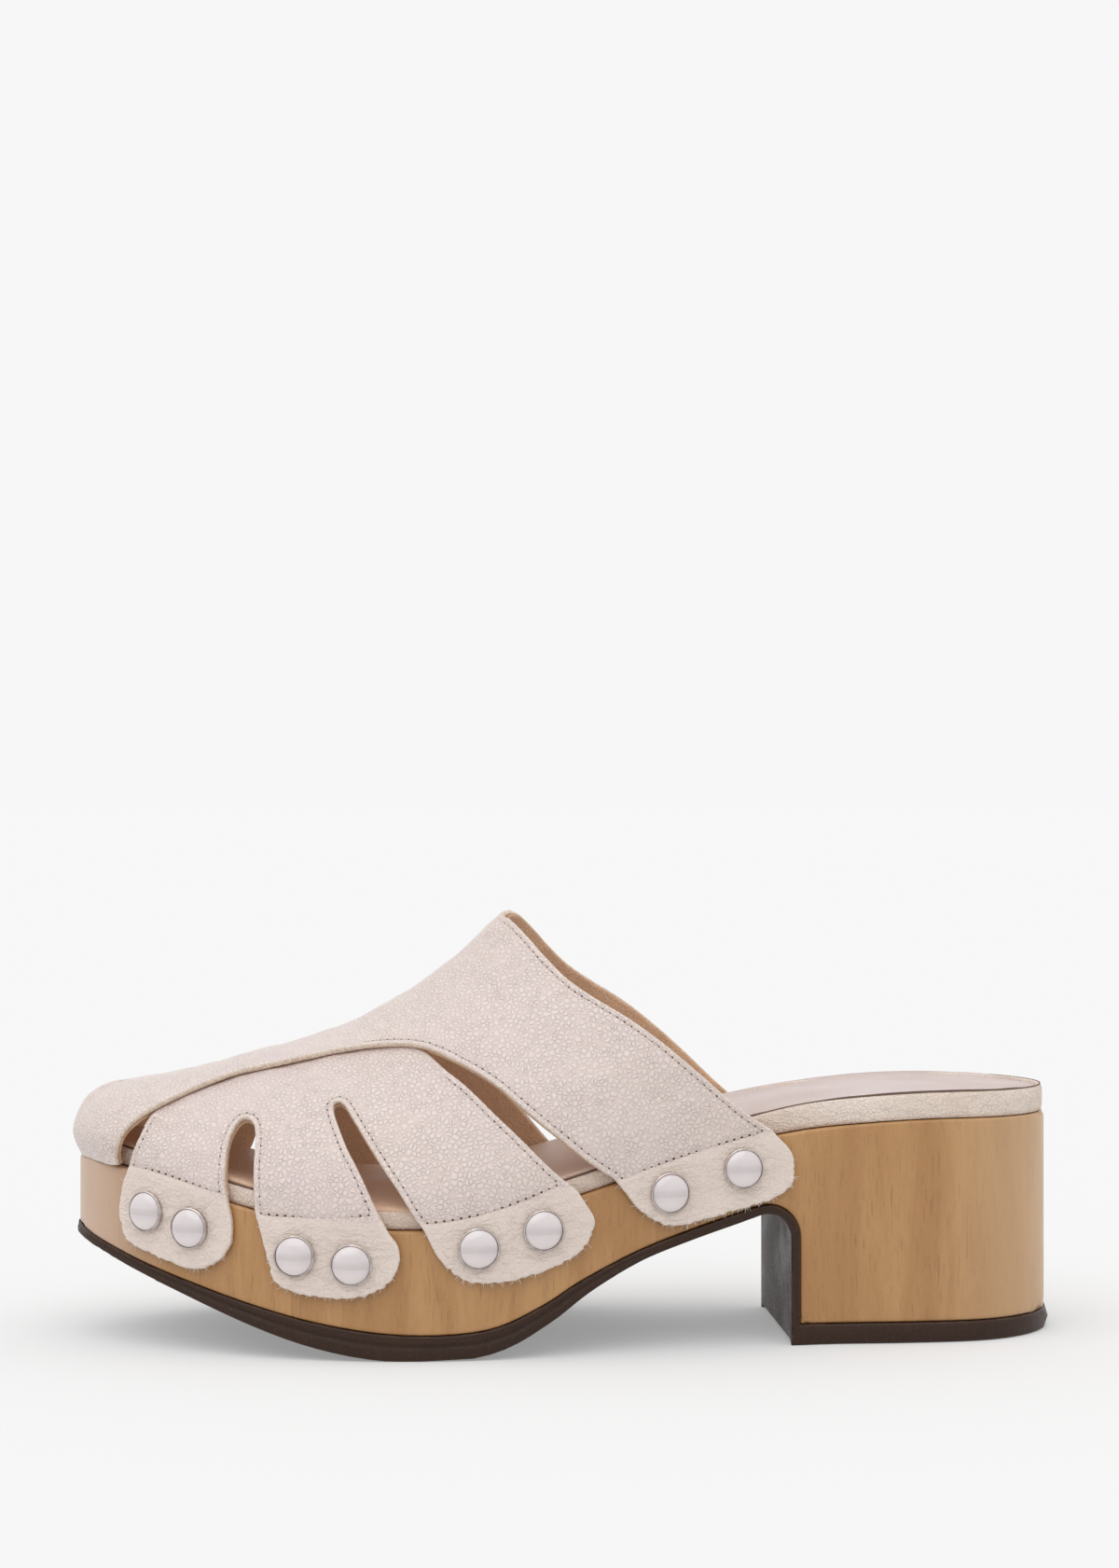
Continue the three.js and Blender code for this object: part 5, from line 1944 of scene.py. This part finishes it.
    @staticmethod
    def thread(parts: MeshParts, line: Array, normal: Array) -> None:
        """Adds one stitch: a short rounded thread, sunk at both ends."""
        run = line[4] - line[0]
        across = np.cross(normal, unit(run))
        angles = np.arange(6)[::-1] * math.tau / 6
        rows = []
        for f, radius, rise in ((0.16, 0.1, -0.06), (0.3, 0.22, 0.0), (0.5, 0.24, 0.04),
                                (0.7, 0.22, 0.0), (0.84, 0.1, -0.06)):
            ring = np.outer(np.cos(angles), across) + np.outer(np.sin(angles), normal)
            rows.append(line[0] + run * f + normal * rise + ring * radius)
        parts.add(np.vstack(rows), [[*range(6)][::-1], *ring_faces(6, 5), [*range(24, 30)]])

    @staticmethod
    def hole(parts: MeshParts, centre: Array, normal: Array, run: Array) -> None:
        """Adds one needle hole: a small dish closed underneath, painted dark as the shade inside it."""
        run = unit(run)
        across = np.cross(normal, run)
        angles = np.arange(8) * math.tau / 8
        ring = np.outer(np.cos(angles), run) * 0.31 + np.outer(np.sin(angles), across) * 0.31
        levels = ((0.8, -0.2), (1.0, 0.03), (0.6, 0.05))
        rows = [centre + ring * size + normal * rise for size, rise in levels]
        parts.add(np.vstack(rows), [[*range(8)][::-1], *ring_faces(8, 3), [*range(16, 24)]])

    def build_fibres(self) -> None:
        """Frays the cut edges on the wood with short fibres."""
        rng = np.random.default_rng(self.seed)
        for side in Side:
            parts = MeshParts()
            for line, start in ((self.side_loop, 0), (self.vamp_chain, 40)):
                even = self.even_line(line[start:], False, self.fibre_step)
                outer = self.inward(even, False, -1.0)
                p = self.space(even, side)
                n = self.normals(even, side)
                away = unit(self.space(outer, side) - p)
                chance = 0.5 * ease(0.2, 0.12, even[:, 1]) + 0.1 * ease(0.4, 0.2, even[:, 1])
                draws = rng.random((len(even), 6))
                for i in np.nonzero(draws[:, 0] < chance)[0]:
                    d = draws[i]
                    length = 0.4 + 1.5 * d[1] ** 3.0
                    lean = away[i] + n[i] * (d[2] - 0.35) * 0.9
                    side_way = np.cross(n[i], away[i]) * (d[3] - 0.5) * 1.6
                    begin = p[i] + n[i] * (0.25 + 1.1 * d[4]) - away[i] * 0.25
                    self.fibre(parts, begin, lean + side_way, n[i], length, 0.06 + 0.07 * d[5])
            finish_piece(parts.build("edge_fibres_" + side.name.lower(), [FIBRE.make()]),
                         "upper_leather")

    @staticmethod
    def fibre(parts: MeshParts, begin: Array, way: Array, normal: Array, length: float,
              radius: float) -> None:
        """Adds one thin strand of three sides."""
        way = unit(way)
        a = unit(np.cross(way, normal))
        b = np.cross(way, a)
        rows = []
        for f, size, droop in ((0, 1.0, 0.0), (0.55, 0.8, 0.06), (1.0, 0.3, 0.22)):
            centre = begin + way * length * f + a * droop * length
            for k in range(3):
                angle = k * math.tau / 3
                rows.append(centre + (a * math.cos(angle) + b * math.sin(angle)) * radius * size)
        parts.add(np.array(rows), [[2, 1, 0], *ring_faces(3, 3), [6, 7, 8]])

    def build(self) -> None:
        """Builds the whole upper."""
        self.build_panels()
        self.build_stitching()
        self.build_fibres()


# Studs


@dataclass
class Studs:
    """Sixteen studs: a nailed metal dish that holds a low pearl."""

    upper: Upper
    radius: float = 4.9
    pearl_radius: float = 4.68
    pearl_rise: float = 2.0
    dish_height: float = 1.0
    shank_radius: float = 0.8
    shank_length: float = 9.0

    def dish(self) -> Piece:
        """Models one dish with its shank, opening along z."""
        select_only()
        bpy.ops.mesh.primitive_circle_add(vertices=40, radius=self.shank_radius * 0.001,
                                          fill_type="NGON",
                                          location=(0, 0, -self.shank_length * 0.001))
        dish = bpy.context.object
        bpy.ops.object.mode_set(mode="EDIT")
        steps = (
            (1.0, self.shank_length - 0.2), (self.radius / self.shank_radius, 0.0), (1.03, 0.25),
            (1.01, 0.45), (1.0, self.dish_height - 0.65), (0.985, 0.12), (0.955, 0.06),
            (0.985, -0.4), (0.2, -0.2),
        )
        for scale, rise in steps:
            bpy.ops.mesh.extrude_region_move(TRANSFORM_OT_translate={"value": (0, 0, rise * 0.001)})
            bpy.ops.transform.resize(value=(scale, scale, 1), center_override=(0, 0, 0))
        bpy.ops.mesh.select_all(action="SELECT")
        bpy.ops.mesh.normals_make_consistent(inside=False)
        bpy.ops.object.mode_set(mode="OBJECT")
        bpy.ops.object.transform_apply(location=True, rotation=True, scale=True)
        bpy.ops.object.shade_smooth_by_angle(angle=math.radians(50))
        return dish

    def cap(self) -> Piece:
        """Models one pearl: a sphere cut in half and pressed low."""
        select_only()
        bpy.ops.mesh.primitive_uv_sphere_add(segments=40, ring_count=24,
                                             radius=self.pearl_radius * 0.001)
        cap = bpy.context.object
        bpy.ops.object.mode_set(mode="EDIT")
        bpy.ops.mesh.select_all(action="SELECT")
        bpy.ops.mesh.bisect(plane_co=(0, 0, 0), plane_no=(0, 0, 1), clear_inner=True,
                            use_fill=True)
        bpy.ops.mesh.select_all(action="SELECT")
        share = self.pearl_rise / self.pearl_radius
        bpy.ops.transform.resize(value=(1, 1, share), center_override=(0, 0, 0))
        bpy.ops.object.mode_set(mode="OBJECT")
        bpy.ops.object.shade_smooth_by_angle(angle=math.radians(50))
        return cap

    def place(self, side: Side, number: int) -> Matrix:
        """Where stud number on a side sits: z out of the shoe."""
        q, t = self.upper.studs[number]
        at = LAST.surface(side, np.array([q]), np.array([t]))[0]
        _, _, out = LAST.along(side, np.array([q]))
        z = Vector((out[0, 0], out[0, 1], 0.0)).normalized()
        y = Vector((0, 0, 1))
        x = y.cross(z)
        turn = Matrix((x, y, z)).transposed().to_4x4()
        seat = at + np.array([z.x, z.y, 0]) * (LAST.leather + 0.12)
        return Matrix.Translation(Vector(to_metres(seat))) @ turn

    def copy(self, source: Piece, name: str, where: Matrix, rise: float,
             material: bpy.types.Material, slot: str, node: str) -> None:
        """Sets a copy of a modelled piece in its place."""
        mesh = source.data.copy()
        height = mesh.attributes.new("height", "FLOAT", "POINT")
        height.data.foreach_set("value", [v.co.y / (self.radius * 0.001) for v in mesh.vertices])
        mesh.transform(where @ Matrix.Translation((0, 0, rise * 0.001)))
        mesh.materials.clear()
        mesh.materials.append(material)
        piece = bpy.data.objects.new(name, mesh)
        bpy.context.scene.collection.objects.link(piece)
        finish_piece(piece, slot, node)

    def build(self) -> None:
        """Builds all sixteen studs."""
        dish, cap = self.dish(), self.cap()
        for side in Side:
            for number in range(len(self.upper.studs)):
                label = side.name.lower() + "_" + str(number + 1)
                where = self.place(side, number)
                self.copy(dish, "stud_dish_" + label, where, 0.0, METAL.make(), "stud_metal",
                          "stud_nail_" + label)
                self.copy(cap, "pearl_cap_" + label, where, 0.62, PEARL.make(), "pearl",
                          "stud_pearl_" + label)
        for source in (dish, cap):
            bpy.data.objects.remove(source, do_unlink=True)


# Studio


@dataclass
class Studio:
    """The pale floor, the soft light and the camera."""

    camera_at: tuple = (72.8, -780.0, 135.8)
    yaw: float = 3.72
    rise: float = 0.35
    lens: float = 69.17

    def build_floor(self) -> None:
        """Lays the floor."""
        select_only()
        bpy.ops.mesh.primitive_grid_add(x_subdivisions=8, y_subdivisions=8, size=120,
                                        location=(0, 0, 0))
        floor = bpy.context.object
        floor.name = "studio_floor"
        material = bpy.data.materials.new("studio_floor_finish")
        material.use_nodes = True
        shader = material.node_tree.nodes["Principled BSDF"]
        shader.inputs["Base Color"].default_value = (0.545, 0.545, 0.545, 1)
        shader.inputs["Emission Color"].default_value = (1.0, 1.0, 1.0, 1)
        shader.inputs["Emission Strength"].default_value = 0.27
        shader.inputs["Roughness"].default_value = 0.9
        shader.inputs["Specular IOR Level"].default_value = 0.0
        floor.data.materials.append(material)

    def build_light(self) -> None:
        """Sets the room's even light and a broad key from above."""
        world = bpy.data.worlds.new("studio_air")
        bpy.context.scene.world = world
        world.use_nodes = True
        tree = world.node_tree
        nodes = Nodes(tree)
        back = tree.nodes["Background"]
        way = nodes.add("TexCoord").outputs["Generated"]
        parts = nodes.add("SeparateXYZ", Vector=way)
        behind = nodes.remap(parts.outputs["Y"], -0.75, 0.1, 0.5, 1.0)
        lifted = nodes.remap(parts.outputs["Z"], 0.12, 0.5, 0.0, 0.45)
        level = nodes.maths("MINIMUM", nodes.maths("ADD", behind, lifted), 1.0)
        colour = nodes.blend(level, (0.0, 0.0, 0.0, 1), (0.93, 0.93, 0.93, 1))
        tree.links.new(colour, back.inputs["Color"])
        back.inputs["Strength"].default_value = 1.0
        lamp = bpy.data.lights.new("studio_key", "SUN")
        lamp.energy = 1.1
        lamp.angle = math.radians(70)
        key = bpy.data.objects.new("studio_key", lamp)
        key.rotation_euler = (math.radians(24), math.radians(-14), 0)
        bpy.context.scene.collection.objects.link(key)

    def build_camera(self) -> None:
        """Sets the camera at standing-product height, level, turned a little to the heel."""
        data = bpy.data.cameras.new("studio_camera")
        data.lens = self.lens
        data.sensor_fit = "VERTICAL"
        data.sensor_height = 36.0
        data.sensor_width = 36.0
        data.clip_end = 500.0
        camera = bpy.data.objects.new("studio_camera", data)
        camera.location = Vector(to_metres(np.array(self.camera_at)))
        camera.rotation_euler = (math.radians(90 + self.rise), 0, -math.radians(self.yaw))
        bpy.context.scene.collection.objects.link(camera)
        bpy.context.scene.camera = camera

    def build(self) -> None:
        """Builds the studio."""
        bpy.context.scene.view_settings.view_transform = "Standard"
        self.build_floor()
        self.build_light()
        self.build_camera()


def main() -> None:
    """Builds the clog and the studio round it."""
    Studio().build()
    Sole().build()
    Footbed().build()
    upper = Upper()
    upper.build()
    Studs(upper).build()


if __name__ == "__main__":
    main()
